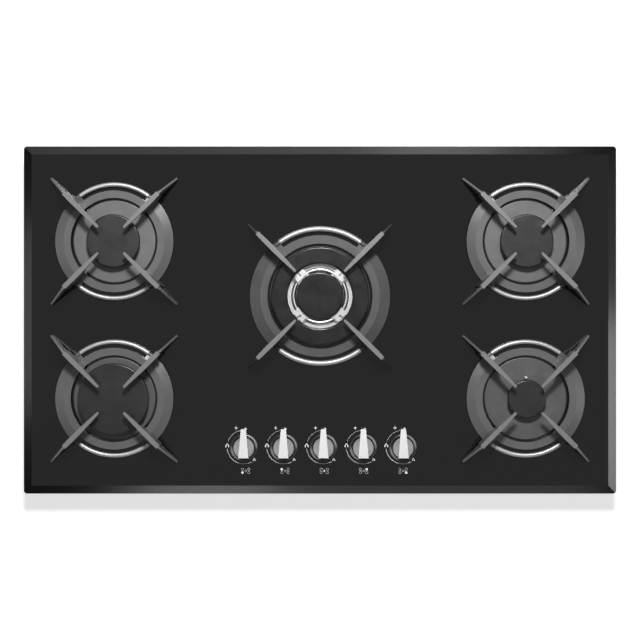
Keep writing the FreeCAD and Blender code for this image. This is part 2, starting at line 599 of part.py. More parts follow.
def burner_cup(name, x, y, size, entry):
    """Cast cup under the glass, which holds the injector. Its gas socket is on local +X."""
    body = new_body(f"{name}_burner_cup")
    neck, collar = f"{size}_neck_radius", f"{size}_collar_radius"
    depth = f"({GLASS_TOP} - {CUP_BOTTOM})"
    bore = f"({neck} - cup_wall)"
    well = f"(pipe_height - {GLASS_TOP} - pipe_radius)"
    revolve(body, "cup", [
        ("0", f"0 - {depth}"), (neck, f"0 - {depth}"), (neck, "0 - collar_thickness"),
        (collar, "0 - collar_thickness"), (collar, "0"), (bore, "0"), (bore, f"cup_floor - {depth}"),
        ("injector_radius", f"cup_floor - {depth}"), ("injector_radius", well), ("0", well)])
    socket = new_sketch(body, "socket_plan", "YZ", f"{neck} - pipe_socket_depth")
    draw_circle(socket, "0", f"pipe_height - {GLASS_TOP}", "pipe_radius + running_clearance")
    extrude(body, "Pocket", "socket", socket, "pipe_socket_depth + 1")
    gallery = new_sketch(body, "gallery_plan", "YZ")
    draw_circle(gallery, "0", f"pipe_height - {GLASS_TOP}", "pipe_radius - tube_wall")
    extrude(body, "Pocket", "gallery", gallery, neck)
    holes = new_sketch(body, "screw_hole_plan", "XY", f"0 - {depth}")
    for side in ("screw_spread", "0 - screw_spread"):
        draw_circle(holes, "0", side, "screw_radius")
    extrude(body, "Pocket", "screw_holes", holes, "screw_length + glass_clearance")
    way = new_sketch(body, "electrode_hole_plan", "XY", "0 - collar_thickness")
    draw_circle(
        way, f"{size}_electrode_reach * cos({90 - entry} * 1deg)",
        f"{size}_electrode_reach * sin({90 - entry} * 1deg)", "electrode_radius + running_clearance")
    extrude(body, "Pocket", "electrode_hole", way, "collar_thickness")
    return place(body, x, y, GLASS_TOP, turn=entry)


def cup_screws(name, x, y, entry):
    """Two screws that hold the cup down on its rail, with their heads under the rail."""
    screws = []
    for number, side in enumerate(("screw_spread", "(0 - screw_spread)"), start=1):
        east = f"({side}) * {1 if entry == 270 else 0}"
        north = f"({side}) * {0 if entry == 270 else 1}"
        head = cylinder(
            f"{name}_screw_head_{number}", "screw_head_radius", "screw_head_height", f"{x} + {east}",
            f"{y} + {north}", f"{CUP_BOTTOM} - rail_sheet - screw_head_height")
        shank = cylinder(
            f"{name}_screw_shank_{number}", "screw_radius", "screw_length + rail_sheet", f"{x} + {east}",
            f"{y} + {north}", f"{CUP_BOTTOM} - rail_sheet")
        screws.append(fuse(f"{name}_cup_screw_{number}", [head, shank]))
    return screws


def injector(name, x, y):
    """Brass injector, screwed into the cup's floor."""
    top = f"{CUP_BOTTOM} + cup_floor"
    thread = cylinder(
        f"{name}_injector_thread", "injector_radius", "injector_thread", x, y, f"{top} - injector_thread")
    head = cylinder(f"{name}_injector_head", "injector_head_radius", "injector_head", x, y, top)
    return fuse(f"{name}_injector", [thread, head])


def spark_electrode(name, x, y, size):
    """Ceramic rod with a steel tip, beside the crown and under the cap's edge."""
    at = f"{y} + {size}_electrode_reach"
    bottom = "(tray_depth - electrode_foot_drop)"
    top = f"({GLASS_TOP} + {CAP_SEAT} - electrode_tip_length - 2 * glass_clearance)"
    rod = cylinder(f"{name}_electrode_rod", "electrode_radius", f"{top} - {bottom}", x, at, bottom)
    tip = cylinder(f"{name}_electrode_tip", "electrode_tip_radius", "electrode_tip_length", x, at, top)
    return fuse(f"{name}_electrode", [rod, tip])


# ---------------------------------------------------------------- taps and knobs

def tap_body(burner):
    """Brass tap on the manifold: a block with the plug's chamber, the stem's way and an outlet."""
    body = new_body(f"{burner}_tap_body")
    sketch = new_sketch(body, "block_plan", "XY")
    draw_outline(sketch, rectangle("0", "0", "tap_width", "tap_width", "tap_floor"))
    extrude(body, "Pad", "block", sketch, "tap_height")
    chamber_top = "(tap_floor + plug_height + 2 * running_clearance)"
    revolve(body, "chamber", [
        ("0", "tap_floor"), ("plug_radius + running_clearance", "tap_floor"),
        ("plug_radius + running_clearance", chamber_top), ("stem_radius + seat_clearance", chamber_top),
        ("stem_radius + seat_clearance", "tap_height + 1"), ("0", "tap_height + 1")], kind="Groove")
    outlet = new_sketch(body, "outlet_plan", "XZ", "0 - tap_width / 2")
    draw_circle(outlet, "0", f"pipe_height - {TAP_BOTTOM}", "pipe_radius + running_clearance")
    extrude(body, "Pocket", "outlet", outlet, "tap_floor", upwards=True)
    return place(body, KNOB_X[burner], KNOB_Y, TAP_BOTTOM)


def tap_plug(burner):
    """Plug that turns in the tap, with a blind slot for the stem's blade."""
    body = new_body(f"{burner}_tap_plug")
    revolve(body, "plug", [
        ("0", "0"), ("plug_radius", "0"), ("plug_radius", "plug_height"), ("0", "plug_height")])
    sketch = new_sketch(body, "slot_plan", "XY", "plug_height")
    draw_outline(sketch, rectangle(
        "0", "0", "2 * stem_radius + 2 * running_clearance", "stem_blade + 2 * running_clearance"))
    extrude(body, "Pocket", "slot", sketch, "plug_slot_depth", upwards=False)
    return place(body, KNOB_X[burner], KNOB_Y, f"{TAP_BOTTOM} + tap_floor + running_clearance")


def tap_stem(burner):
    """Stem with a flat blade in the plug's slot. It is long enough to stay in the slot at rest."""
    body = new_body(f"{burner}_tap_stem")
    plug_top = f"({TAP_BOTTOM} + tap_floor + running_clearance + plug_height)"
    shaft_bottom = f"({plug_top} + stem_press + 2 * seat_clearance)"
    blade_bottom = f"({plug_top} - plug_slot_depth + stem_press + seat_clearance)"
    top = f"({GLASS_TOP} + knob_lift + stem_grip_depth)"
    blade = new_sketch(body, "blade_plan", "XY", blade_bottom)
    draw_outline(blade, rectangle("0", "0", "2 * stem_radius - 2 * running_clearance", "stem_blade"))
    extrude(body, "Pad", "blade", blade, f"{shaft_bottom} - {blade_bottom} + 1")
    shaft = new_sketch(body, "shaft_plan", "XY", shaft_bottom)
    draw_circle(shaft, "0", "0", "stem_radius")
    extrude(body, "Pad", "shaft", shaft, f"{top} - {shaft_bottom}")
    return place(body, KNOB_X[burner], KNOB_Y)


def knob(burner):
    """Round disc with a tapered grip that reaches past it towards the rear as the pointer."""
    body = new_body(f"{burner}_knob")
    disc_top = "(knob_lift + knob_disc_thickness)"
    revolve(body, "disc", [
        ("0", "knob_lift"), ("knob_radius - knob_edge", "knob_lift"),
        ("knob_radius", "knob_lift + knob_edge"), ("knob_radius", f"{disc_top} - knob_edge"),
        ("knob_radius - knob_edge", disc_top), ("0", disc_top)])
    plan = new_sketch(body, "grip_plan", "XY", f"{disc_top} - 1")
    draw_outline(plan, [
        ("0 - grip_front_width / 2", "0 - grip_front_reach"),
        ("grip_front_width / 2", "0 - grip_front_reach"),
        ("grip_rear_width / 2", "grip_rear_reach"), ("0 - grip_rear_width / 2", "grip_rear_reach")])
    grip = extrude(body, "Pad", "grip", plan, f"grip_height - {disc_top} + 1")
    side = new_sketch(body, "grip_side", "YZ")
    draw_outline(side, [
        ("0 - grip_front_reach - 1", disc_top), ("0 - grip_front_reach", disc_top),
        ("0 - grip_front_reach + grip_front_slope", "grip_height"), ("grip_rear_reach", "grip_rear_height"),
        ("grip_rear_reach + 1", "grip_rear_height"), ("grip_rear_reach + 1", "grip_height + 1"),
        ("0 - grip_front_reach - 1", "grip_height + 1")])
    extrude(body, "Pocket", "grip_side_cut", side, "grip_front_width + 2", symmetric=True)
    bore = new_sketch(body, "bore_plan", "XY", "knob_lift")
    draw_circle(bore, "0", "0", "stem_radius")
    extrude(body, "Pocket", "bore", bore, "stem_grip_depth")
    return place(body, KNOB_X[burner], KNOB_Y, GLASS_TOP)


def knob_bezel(burner):
    body = new_body(f"{burner}_knob_bezel")
    crown = "((bezel_outer_radius - bezel_inner_radius) / 2)"
    revolve(body, "bezel", [
        ("bezel_inner_radius", "0"), ("bezel_outer_radius", "0"),
        ("bezel_outer_radius", f"bezel_height - {crown}", crown),
        (f"bezel_outer_radius - {crown}", "bezel_height", crown),
        ("bezel_inner_radius", f"bezel_height - {crown}")])
    return place(body, KNOB_X[burner], KNOB_Y, GLASS_TOP)


def ignition_switch(burner):
    """Switch block on top of the tap, pressed by the stem."""
    block = box(
        f"{burner}_switch_block", "switch_width", "switch_width", "switch_height",
        KNOB_X[burner], KNOB_Y, f"{TAP_BOTTOM} + tap_height")
    hole = cylinder(
        f"{burner}_switch_hole", "stem_radius + glass_clearance", "3 * switch_height",
        KNOB_X[burner], KNOB_Y, f"{TAP_BOTTOM} + tap_height - switch_height")
    return cut(f"{burner}_switch", block, hole)


# ---------------------------------------------------------------- gas way

def pipe_ends(burner):
    """Where a pipe leaves its tap and where it enters its burner cup."""
    x, y, size, _, entry = BURNERS[burner]
    height = value("pipe_height")
    start = FreeCAD.Vector(value(KNOB_X[burner]), value(f"{KNOB_Y} + tap_width / 2 - tap_floor"), height)
    facing = FreeCAD.Vector(round(math.cos(math.radians(entry))), round(math.sin(math.radians(entry))), 0)
    centre = FreeCAD.Vector(value(x), value(y), height)
    return start, centre + facing * value(f"{size}_neck_radius - pipe_socket_depth"), facing


def pipe_route(burner):
    start, end, facing = pipe_ends(burner)
    if burner == "centre":
        third = (end.y - start.y) / 3
        return [start, FreeCAD.Vector(start.x, start.y + third, start.z),
                FreeCAD.Vector(end.x, end.y - third, start.z), end]
    if burner.startswith("front"):
        return [start, FreeCAD.Vector(start.x, end.y, start.z), end]
    lane = FreeCAD.Vector(start.x, start.y + value("burner_row_offset"), start.z)
    return [start, lane, end + facing * value("pipe_straight_end"), end]


def gas_pipes():
    pipes = []
    for burner in TAP_ROW:
        route = pipe_route(burner)
        bend = value("pipe_bend")
        outer = bent_rod(route, value("pipe_radius"), bend)
        pipes.append(outer.cut(bent_rod(route, value("pipe_radius - tube_wall"), bend)))
    return routed("gas_pipes", Part.makeCompound(pipes))


def pipe_nuts():
    """Hexagon nuts where each pipe enters its tap and its burner cup."""
    nuts = []
    for burner in TAP_ROW:
        start, end, facing = pipe_ends(burner)
        ends = (
            (start + FreeCAD.Vector(0, value("tap_floor"), 0), FreeCAD.Vector(0, 1, 0)),
            (end + facing * value("pipe_socket_depth"), facing))
        for point, heading in ends:
            nut = Part.makeCylinder(value("pipe_nut_radius"), value("pipe_nut_length"), point, heading)
            turned = FreeCAD.Rotation(FreeCAD.Vector(0, 0, 1), heading)
            corners = [
                point + turned.multVec(FreeCAD.Vector(
                    value("pipe_nut_radius") * math.cos(math.radians(60 * corner)),
                    value("pipe_nut_radius") * math.sin(math.radians(60 * corner)), 0))
                for corner in range(7)]
            hexagon = Part.Face(Part.makePolygon(corners)).extrude(heading * value("pipe_nut_length"))
            hole = Part.makeCylinder(
                value("pipe_radius + running_clearance"), value("pipe_nut_length"), point, heading)
            nuts.append(hexagon.common(nut).cut(hole))
    return routed("pipe_nuts", Part.makeCompound(nuts))


def gas_manifold():
    """Steel tube under the taps, which climbs to the inlet elbow at the right rear."""
    front, low, high = value(KNOB_Y), value("manifold_height"), value("inlet_pipe_height")
    left, right = value(f"{KNOB_X['front_left']} - tap_width"), value("inlet_side_offset")
    rear = value("inlet_rear_offset - 2 * inlet_body_radius")
    points = [
        FreeCAD.Vector(left, front, low), FreeCAD.Vector(right, front, low),
        FreeCAD.Vector(right, front + (rear - front) / 3, low),
        FreeCAD.Vector(right, rear - (rear - front) / 3, high), FreeCAD.Vector(right, rear, high)]
    bend, radius = value("manifold_bend"), value("manifold_radius")
    hollow = [points[0] + FreeCAD.Vector(value("tap_floor"), 0, 0)] + points[1:]
    bore = bent_rod(hollow, value("manifold_radius - 2 * tube_wall"), bend)
    return routed("gas_manifold", bent_rod(points, radius, bend).cut(bore))


def manifold_clips():
    """Saddles between the tray and the manifold, between the taps."""
    clips = []
    for number in range(4):
        x = f"(knob_row_shift + ({number} - 1.5) * knob_spacing)"
        block = box(
            f"clip_block_{number + 1}", "clip_length", "3 * manifold_radius",
            "manifold_height - tray_sheet", x, KNOB_Y, "tray_sheet")
        groove = cylinder(f"clip_groove_{number + 1}", "manifold_radius", "2 * clip_length")
        groove.Placement.Rotation = FreeCAD.Rotation(FreeCAD.Vector(0, 1, 0), 90)
        groove.setExpression("Placement.Base.x", bind(f"{x} - clip_length"))
        groove.setExpression("Placement.Base.y", bind(KNOB_Y))
        groove.setExpression("Placement.Base.z", bind("manifold_height"))
        clips.append(cut(f"clip_{number + 1}", block, groove))
    return group("manifold_clips", clips)


def inlet_elbow():
    """Elbow with a parallel pipe thread that points down through the tray's opening."""
    at_x, at_y = "inlet_side_offset", "inlet_rear_offset"
    thread = cylinder("inlet_thread", "inlet_thread_radius", "inlet_thread_length", at_x, at_y, "tray_sheet")
    shoulder = "(tray_sheet + inlet_thread_length)"
    trunk = cylinder(
        "inlet_trunk", "inlet_body_radius", f"inlet_pipe_height + inlet_body_radius - {shoulder}",
        at_x, at_y, shoulder)
    branch = cylinder("inlet_branch", "inlet_body_radius - 2 * tube_wall", "2 * inlet_body_radius")
    branch.Placement.Rotation = FreeCAD.Rotation(FreeCAD.Vector(1, 0, 0), 90)
    for axis, expression in (("x", at_x), ("y", at_y), ("z", "inlet_pipe_height")):
        branch.setExpression(f"Placement.Base.{axis}", bind(expression))
    elbow = fuse("inlet_elbow", [thread, trunk, branch])
    elbow.Label = "inlet_elbow"
    return elbow


# ---------------------------------------------------------------- rails, ignition and cable gland

def support_rail(name, length, y, screw_places):
    """Hat-shaped sheet rail on the tray's floor, with holes for the cup screws."""
    body = new_body(name)
    half, sheet, flange, top = "rail_width / 2", "rail_sheet", "rail_flange", "rail_height"
    sketch = new_sketch(body, "rail_profile", "YZ")
    right = [
        (f"{half} + {flange}", "0"), (f"{half} + {flange}", sheet), (half, sheet), (half, top)]
    left = [
        (f"0 - {half}", top), (f"0 - {half}", sheet), (f"0 - {half} - {flange}", sheet),
        (f"0 - {half} - {flange}", "0")]
    inside = [
        (f"{sheet} - {half}", "0"), (f"{sheet} - {half}", f"{top} - {sheet}"),
        (f"{half} - {sheet}", f"{top} - {sheet}"), (f"{half} - {sheet}", "0")]
    draw_outline(sketch, right + left + inside)
    extrude(body, "Pad", "rail_pad", sketch, length, symmetric=True)
    holes = new_sketch(body, "rail_hole_plan", "XY", "rail_height")
    for x, along_rail in screw_places:
        for side in ("screw_spread", "(0 - screw_spread)"):
            east = f"{x} + {side}" if along_rail else x
            draw_circle(holes, east, "0" if along_rail else side, "screw_radius")
    extrude(body, "Pocket", "rail_holes", holes, "4 * rail_sheet", symmetric=True)
    return place(body, y=y, z="tray_sheet")


def support_rails():
    corner_places = [("(0 - burner_side_offset)", False), ("burner_side_offset", False)]
    return group("support_rails", [
        support_rail("rear_rail", "rail_length", "burner_row_offset", corner_places),
        support_rail("front_rail", "rail_length", "(0 - burner_row_offset)", corner_places),
        support_rail("centre_rail", "centre_rail_length", "centre_burner_offset", [("0", True)])])


def ignition_leads():
    """High-voltage leads from the top of the generator to the foot of each electrode."""
    leads = []
    base, height = value("tray_sheet + generator_height"), value("lead_height")
    foot = value("tray_depth - electrode_foot_drop")
    rear = value("generator_offset")
    order = ("rear_left", "front_left", "centre", "front_right", "rear_right")
    for place_in_row, burner in enumerate(order):
        x, y, size, _, _ = BURNERS[burner]
        start_x = (place_in_row - 2) * value("lead_spacing")
        end_x, end_y = value(x), value(f"{y} + {size}_electrode_reach")
        route = [FreeCAD.Vector(start_x, rear, base), FreeCAD.Vector(start_x, rear, height)]
        if burner.startswith("front"):
            lane = math.copysign(value("burner_side_offset - corner_drip_radius"), end_x)
            route.append(FreeCAD.Vector(lane, value("burner_row_offset / 2"), height))
        route += [FreeCAD.Vector(end_x, end_y, height), FreeCAD.Vector(end_x, end_y, foot)]
        leads.append(bent_rod(route, value("lead_radius"), value("lead_bend")))
    return routed("ignition_leads", Part.makeCompound(leads))


def spark_generator():
    body = new_body("spark_generator")
    sketch = new_sketch(body, "generator_plan", "XY")
    draw_outline(sketch, rectangle("0", "0", "generator_length", "generator_width", "generator_corner"))
    extrude(body, "Pad", "generator_box", sketch, "generator_height")
    return place(body, y="generator_offset", z="tray_sheet")


def cable_gland():
    """Moulded gland in the tray's rear wall, with its flange outside. Its axis is local Z."""
    body = new_body("cable_gland")
    revolve(body, "gland", [
        ("gland_bore_radius", "gland_flange_thickness - gland_length"),
        ("gland_barrel_radius", "gland_flange_thickness - gland_length"), ("gland_barrel_radius", "0"),
        ("gland_flange_radius", "0"), ("gland_flange_radius", "gland_flange_thickness"),
        ("gland_bore_radius", "gland_flange_thickness")])
    place(body, "0 - gland_side_offset", "tray_width / 2", "gland_height")
    body.Placement.Rotation = FreeCAD.Rotation(FreeCAD.Vector(1, 0, 0), -90)
    return body


# ---------------------------------------------------------------- the whole cooktop

def build_burner(burner):
    x, y, size, support, _ = BURNERS[burner]
    pieces = [pan_support(burner, x, y, support), support_pads(burner, x, y, support)]
    pieces.append(drip_plate(burner, x, y, size, support))
    if size == "triple":
        pieces.append(triple_crown(burner, x, y))
        pieces.append(ring_cap(f"{burner}_ring_cap", x, y))
        # the inner cap uses the same function as the others, with its own radius
        pieces.append(round_cap(f"{burner}_burner_cap", "triple_inner_cap_radius", x, y))
    else:
        pieces.append(burner_crown(burner, x, y, size))
        pieces.append(round_cap(f"{burner}_burner_cap", f"{size}_cap_radius", x, y))
    return pieces


def build_cooktop():
    pieces = [glass_panel(), worktop_gasket(), bottom_tray(), support_rails()]
    for burner in BURNERS:
        pieces += build_burner(burner)
    cups, screws, injectors, electrodes = [], [], [], []
    for burner, (x, y, size, _, entry) in BURNERS.items():
        cups.append(burner_cup(burner, x, y, size, entry))
        screws += cup_screws(burner, x, y, entry)
        injectors.append(injector(burner, x, y))
        electrodes.append(spark_electrode(burner, x, y, size))
    pieces += [
        group("burner_cups", cups), group("cup_screws", screws), group("injectors", injectors),
        group("spark_electrodes", electrodes)]
    for burner in TAP_ROW:
        pieces += [knob(burner), tap_stem(burner), tap_plug(burner)]
    pieces += [
        group("tap_bodies", [tap_body(burner) for burner in TAP_ROW]),
        group("knob_bezels", [knob_bezel(burner) for burner in TAP_ROW]),
        group("ignition_switches", [ignition_switch(burner) for burner in TAP_ROW])]
    pieces += [gas_pipes(), pipe_nuts(), gas_manifold(), manifold_clips(), inlet_elbow()]
    pieces += [spark_generator(), ignition_leads(), cable_gland()]
    return pieces


PIECES = build_cooktop()
DOC.recompute()
failed = [item.Name for item in DOC.Objects if "Invalid" in item.State or "Error" in item.State]
if failed:
    raise RuntimeError(f"did not compute: {failed}")
for piece in PIECES:
    if piece.Shape.isNull() or not piece.Shape.isValid() or not piece.Shape.Solids:
        raise RuntimeError(f"{piece.Label} has no valid shape")

os.makedirs("parts", exist_ok=True)
for piece in PIECES:
    piece.Shape.exportStep(f"parts/{piece.Label}.step")
print(f"{len(PIECES)} pieces written")
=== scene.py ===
import json
import math
import bmesh
import bpy
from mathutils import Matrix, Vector


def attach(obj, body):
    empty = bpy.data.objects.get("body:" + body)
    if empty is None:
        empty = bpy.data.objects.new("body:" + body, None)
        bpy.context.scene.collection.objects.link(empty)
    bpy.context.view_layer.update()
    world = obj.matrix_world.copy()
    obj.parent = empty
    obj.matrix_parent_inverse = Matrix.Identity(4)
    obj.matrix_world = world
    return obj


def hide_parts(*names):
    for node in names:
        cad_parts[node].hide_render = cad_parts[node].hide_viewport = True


# Built-in gas cooktop on black bevelled glass. Metres, +Z up, +Y towards the rear.
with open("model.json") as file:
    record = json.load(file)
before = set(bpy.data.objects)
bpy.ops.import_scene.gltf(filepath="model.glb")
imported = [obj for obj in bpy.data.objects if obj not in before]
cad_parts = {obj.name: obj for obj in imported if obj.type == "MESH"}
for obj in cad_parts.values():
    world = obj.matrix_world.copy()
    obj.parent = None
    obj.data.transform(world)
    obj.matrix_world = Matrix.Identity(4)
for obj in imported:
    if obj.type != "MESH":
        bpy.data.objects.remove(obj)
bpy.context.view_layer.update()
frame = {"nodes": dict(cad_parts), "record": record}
nodes = frame["nodes"]
bodyOfNode = {node: body for body, members in frame["record"]["behaviour"]["bodies"].items()
              for node in members}
print("frame loaded,", len(nodes), "nodes")

mm = 0.001
glassTop = 60 * mm
burnerPlaces = {  # centre of each burner, x and y
    "rear_left": (-301 * mm, 115 * mm), "rear_right": (301 * mm, 115 * mm),
    "front_left": (-301 * mm, -115 * mm), "front_right": (301 * mm, -115 * mm),
    "centre": (0.0, 35 * mm)}
knobRow = {  # knobs from left to right, and the burner each one feeds
    "front_left": -111.6 * mm, "rear_left": -53.3 * mm, "centre": 5 * mm,
    "rear_right": 63.3 * mm, "front_right": 121.6 * mm}
knobRowY = -187 * mm


# wiring of shaders

class Wire:
    # one output of a node, with ordinary maths on it
    def __init__(self, sheet, socket):
        self.sheet = sheet
        self.socket = socket

    def __add__(self, other):
        return self.sheet.maths("ADD", self, other)

    def __radd__(self, other):
        return self.sheet.maths("ADD", other, self)

    def __sub__(self, other):
        return self.sheet.maths("SUBTRACT", self, other)

    def __rsub__(self, other):
        return self.sheet.maths("SUBTRACT", other, self)

    def __mul__(self, other):
        return self.sheet.maths("MULTIPLY", self, other)

    def __rmul__(self, other):
        return self.sheet.maths("MULTIPLY", other, self)

    def __truediv__(self, other):
        return self.sheet.maths("DIVIDE", self, other)

    def __pow__(self, other):
        return self.sheet.maths("POWER", self, other)

    def __abs__(self):
        return self.sheet.maths("ABSOLUTE", self)


class NodeSheet:
    # a node tree that is being wired up
    def __init__(self, tree):
        self.tree = tree

    def add(self, kind, settings=None, inputs=None, output=0):
        node = self.tree.nodes.new(kind)
        for key, setting in (settings or {}).items():
            setattr(node, key, setting)
        for key, given in (inputs or {}).items():
            self.feed(node.inputs[key], given)
        return Wire(self, node.outputs[output])

    def feed(self, socket, given):
        if isinstance(given, Wire):
            self.tree.links.new(given.socket, socket)
        else:
            socket.default_value = given

    def maths(self, operation, *values):
        return self.add("ShaderNodeMath", {"operation": operation}, dict(enumerate(values)))

    def place(self, shift=(0, 0, 0), stretch=(1, 1, 1), turn=(0, 0, 0)):
        spot = self.add("ShaderNodeTexCoord", output="Object")
        return self.add("ShaderNodeMapping", {"vector_type": "POINT"},
                        {"Vector": spot, "Location": shift, "Rotation": turn, "Scale": stretch})

    def parts(self, vector):
        node = self.tree.nodes.new("ShaderNodeSeparateXYZ")
        self.feed(node.inputs[0], vector)
        return [Wire(self, socket) for socket in node.outputs]

    def around(self, centre):
        # the place seen from an upright axis, and the distance from that axis
        x, y, z = self.parts(self.place(shift=(-centre[0], -centre[1], 0)))
        return x, y, z, (x * x + y * y) ** 0.5

    def noise(self, spot, size, detail=3.0, rough=0.55):
        # size is the width of one blotch in metres
        return self.add("ShaderNodeTexNoise", {"noise_dimensions": "3D"},
                        {"Vector": spot, "Scale": 1 / size, "Detail": detail, "Roughness": rough})

    def cells(self, spot, size, feature="F1", output="Distance"):
        return self.add("ShaderNodeTexVoronoi", {"feature": feature},
                        {"Vector": spot, "Scale": 1 / size}, output)

    def span(self, given, low, high, start=0.0, end=1.0):
        # goes smoothly from start to end while the given value goes from low to high
        return self.add("ShaderNodeMapRange", {"interpolation_type": "SMOOTHSTEP", "clamp": True},
                        {"Value": given, "From Min": low, "From Max": high, "To Min": start, "To Max": end})

    def tint(self, factor, first, second):
        return self.add("ShaderNodeMix", {"data_type": "RGBA"}, {0: factor, 6: first, 7: second}, 2)

    def bump(self, height, depth, strength):
        # depth is how far in metres the surface moves between height 0 and height 1
        return self.add("ShaderNodeBump", {}, {"Height": height, "Distance": depth, "Strength": strength})


def grey(level, warm=0.0):
    return (level * (1 + warm), level, level * (1 - warm), 1.0)


def newFinish(name):
    material = bpy.data.materials.new(name)
    material.use_nodes = True
    sheet = NodeSheet(material.node_tree)
    return material, sheet, material.node_tree.nodes["Principled BSDF"]


def setShader(sheet, shader, **given):
    for key, value in given.items():
        sheet.feed(shader.inputs[key.replace("_", " ")], value)


# finishes

glassLook = {
    "black": 0.0035, "scratchGrey": 0.35, "ridgeX": 423 * mm, "ridgeY": 243 * mm, "ridgeWidth": 0.4 * mm,
    "polish": 0.02, "groundPolish": 0.11, "smearPolish": 0.025, "scratchPolish": 0.4,
    "threadSize": 5 * mm, "smearSize": 60 * mm, "dustSize": 0.9 * mm, "waveSize": 45 * mm, "waveDepth": 0.02 * mm,
    "ior": 1.52}


def blackGlass():
    material, sheet, shader = newFinish("blackGlass")
    spot = sheet.place()
    x, y, z = sheet.parts(spot)
    overX = sheet.span(abs(x), glassLook["ridgeX"], glassLook["ridgeX"] + glassLook["ridgeWidth"])
    overY = sheet.span(abs(y), glassLook["ridgeY"], glassLook["ridgeY"] + glassLook["ridgeWidth"])
    bevelled = sheet.maths("MAXIMUM", overX, overY)
    # short scratches and chips along the bevel, most of them at the front and right
    wornSide = sheet.span(x - 2.2 * y, 0.2, 1.0)
    threads = sheet.noise(sheet.place(stretch=(1, 9, 1), turn=(0, 0, 0.5)), glassLook["threadSize"], 6.0, 0.7)
    scratch = sheet.span(threads, 0.66, 0.74) * bevelled * wornSide
    smear = sheet.noise(spot, glassLook["smearSize"], 4.0, 0.6)
    dust = sheet.span(sheet.noise(spot, glassLook["dustSize"], 1.0), 0.74, 0.8)
    wave = sheet.noise(spot, glassLook["waveSize"], 2.0)
    colour = sheet.tint(scratch * 0.8 + dust * 0.02, grey(glassLook["black"]), grey(glassLook["scratchGrey"]))
    polish = glassLook["polish"] + smear * glassLook["smearPolish"] + bevelled * glassLook["groundPolish"]
    setShader(sheet, shader, Base_Color=colour, Roughness=polish + scratch * glassLook["scratchPolish"],
              Normal=sheet.bump(wave + scratch * -0.6, glassLook["waveDepth"], 0.3))
    shader.inputs["IOR"].default_value = glassLook["ior"]
    return material


ironLook = {
    "base": 0.115, "shadedCentreBase": 0.075, "paintedTopGrey": 0.20, "paintedRimHighlight": 0.55, "metal": 0.1, "rimMetal": 0.5,
    "rough": 0.34, "rimRough": 0.1, "cloudSize": 25 * mm, "grainSize": 0.7 * mm, "peelSize": 3 * mm,
    "pitSpacing": 2.4 * mm, "grainDepth": 0.014 * mm, "topFrom": 96 * mm, "topTo": 104 * mm,
    "rimTop": 78 * mm, "rimFade": 2 * mm, "rimSlope": 1.33, "rimFrom": {"corner": 79.9 * mm, "centre": 94.4 * mm}}


def greyEnamelIron(name, centre, rimFrom):
    material, sheet, shader = newFinish("greyEnamelIron_" + name)
    spot = sheet.place()
    cloud = sheet.noise(spot, ironLook["cloudSize"], 4.0)
    grain = sheet.noise(spot, ironLook["grainSize"], 2.0, 0.6)
    peel = sheet.noise(spot, ironLook["peelSize"], 2.0)
    pits = sheet.span(sheet.cells(spot, ironLook["pitSpacing"]), 0.16, 0.05)
    x, y, z, radius = sheet.around(centre)
    # the arm tops and the two rim bars in the rear and front sectors are painted brighter: painted highlights
    # where the lamps light them
    paintedTopLight = sheet.span(z, ironLook["topFrom"], ironLook["topTo"])
    paintedBarHighlight = sheet.span(radius, rimFrom, rimFrom + 0.8 * mm)
    paintedBarHighlight = paintedBarHighlight * sheet.span(abs(y) - abs(x) * ironLook["rimSlope"], 0.0, 1.0 * mm)
    paintedBarHighlight = paintedBarHighlight * sheet.span(z, ironLook["rimTop"], ironLook["rimTop"] - ironLook["rimFade"])
    # painted shade: the centre support is painted darker than the corner ones, though all are the same iron
    base = ironLook["shadedCentreBase" if name == "centre" else "base"]
    colour = sheet.tint(cloud, grey(base * 0.88, -0.01), grey(base * 1.12, 0.01))
    # painted light: the top of each arm is painted lighter, as where the light falls on it
    colour = sheet.tint(paintedTopLight, colour, grey(ironLook["paintedTopGrey"]))
    # painted highlight: the rim bars in the rear and front sectors only are painted near white and made more
    # metallic
    colour = sheet.tint(paintedBarHighlight * (0.8 + cloud * 0.2), colour, grey(ironLook["paintedRimHighlight"]))
    relief = (grain + peel * 1.5 - pits * 0.8) * (1.0 - paintedBarHighlight * 0.7)
    patches = (cloud - 0.5) * 0.12 + (grain - 0.5) * 0.14
    setShader(sheet, shader, Base_Color=colour, Metallic=ironLook["metal"] + paintedBarHighlight * ironLook["rimMetal"],
              Roughness=ironLook["rough"] + paintedBarHighlight * ironLook["rimRough"] + patches,
              Normal=sheet.bump(relief, ironLook["grainDepth"], 0.7))
    return material


capLook = {"round": {"base": 0.010, "rough": 0.31}, "triple": {"base": 0.002, "rough": 0.22}}


def blackEnamel(name, look):
    material, sheet, shader = newFinish(name)
    spot = sheet.place()
    cloud = sheet.noise(spot, 18 * mm, 3.0)
    peel = sheet.noise(spot, 1.6 * mm, 2.0)
    specks = sheet.span(sheet.cells(spot, 3.1 * mm), 0.09, 0.04)
    colour = sheet.tint(specks * 0.25 + cloud * 0.12, grey(look["base"], -0.02), grey(0.12))
    setShader(sheet, shader, Base_Color=colour,
              Roughness=look["rough"] + (cloud - 0.5) * 0.14 + specks * 0.15,
              Normal=sheet.bump(peel - specks * 0.5, 0.012 * mm, 0.8))
    return material


def turnedRings(sheet, radius, pitch, wobble=0.0):
    # fine lathe or brush rings round an axis
    return sheet.maths("SINE", radius * (2 * math.pi / pitch) + wobble)


# painted light and shade: the per-burner base greys make the rear plates lighter and the front plates darker,
# though all are one steel
plateLook = {
    "base": {"rear_left": 0.13, "rear_right": 0.12, "front_left": 0.09, "front_right": 0.09, "centre": 0.10},
    "heat": 0.08, "heatColour": (0.40, 0.385, 0.37, 1.0), "heatOuter": 62 * mm, "heatInner": 30 * mm,
    "metal": 0.25, "rough": 0.40, "ringPitch": 0.8 * mm, "ringDepth": 0.004 * mm}


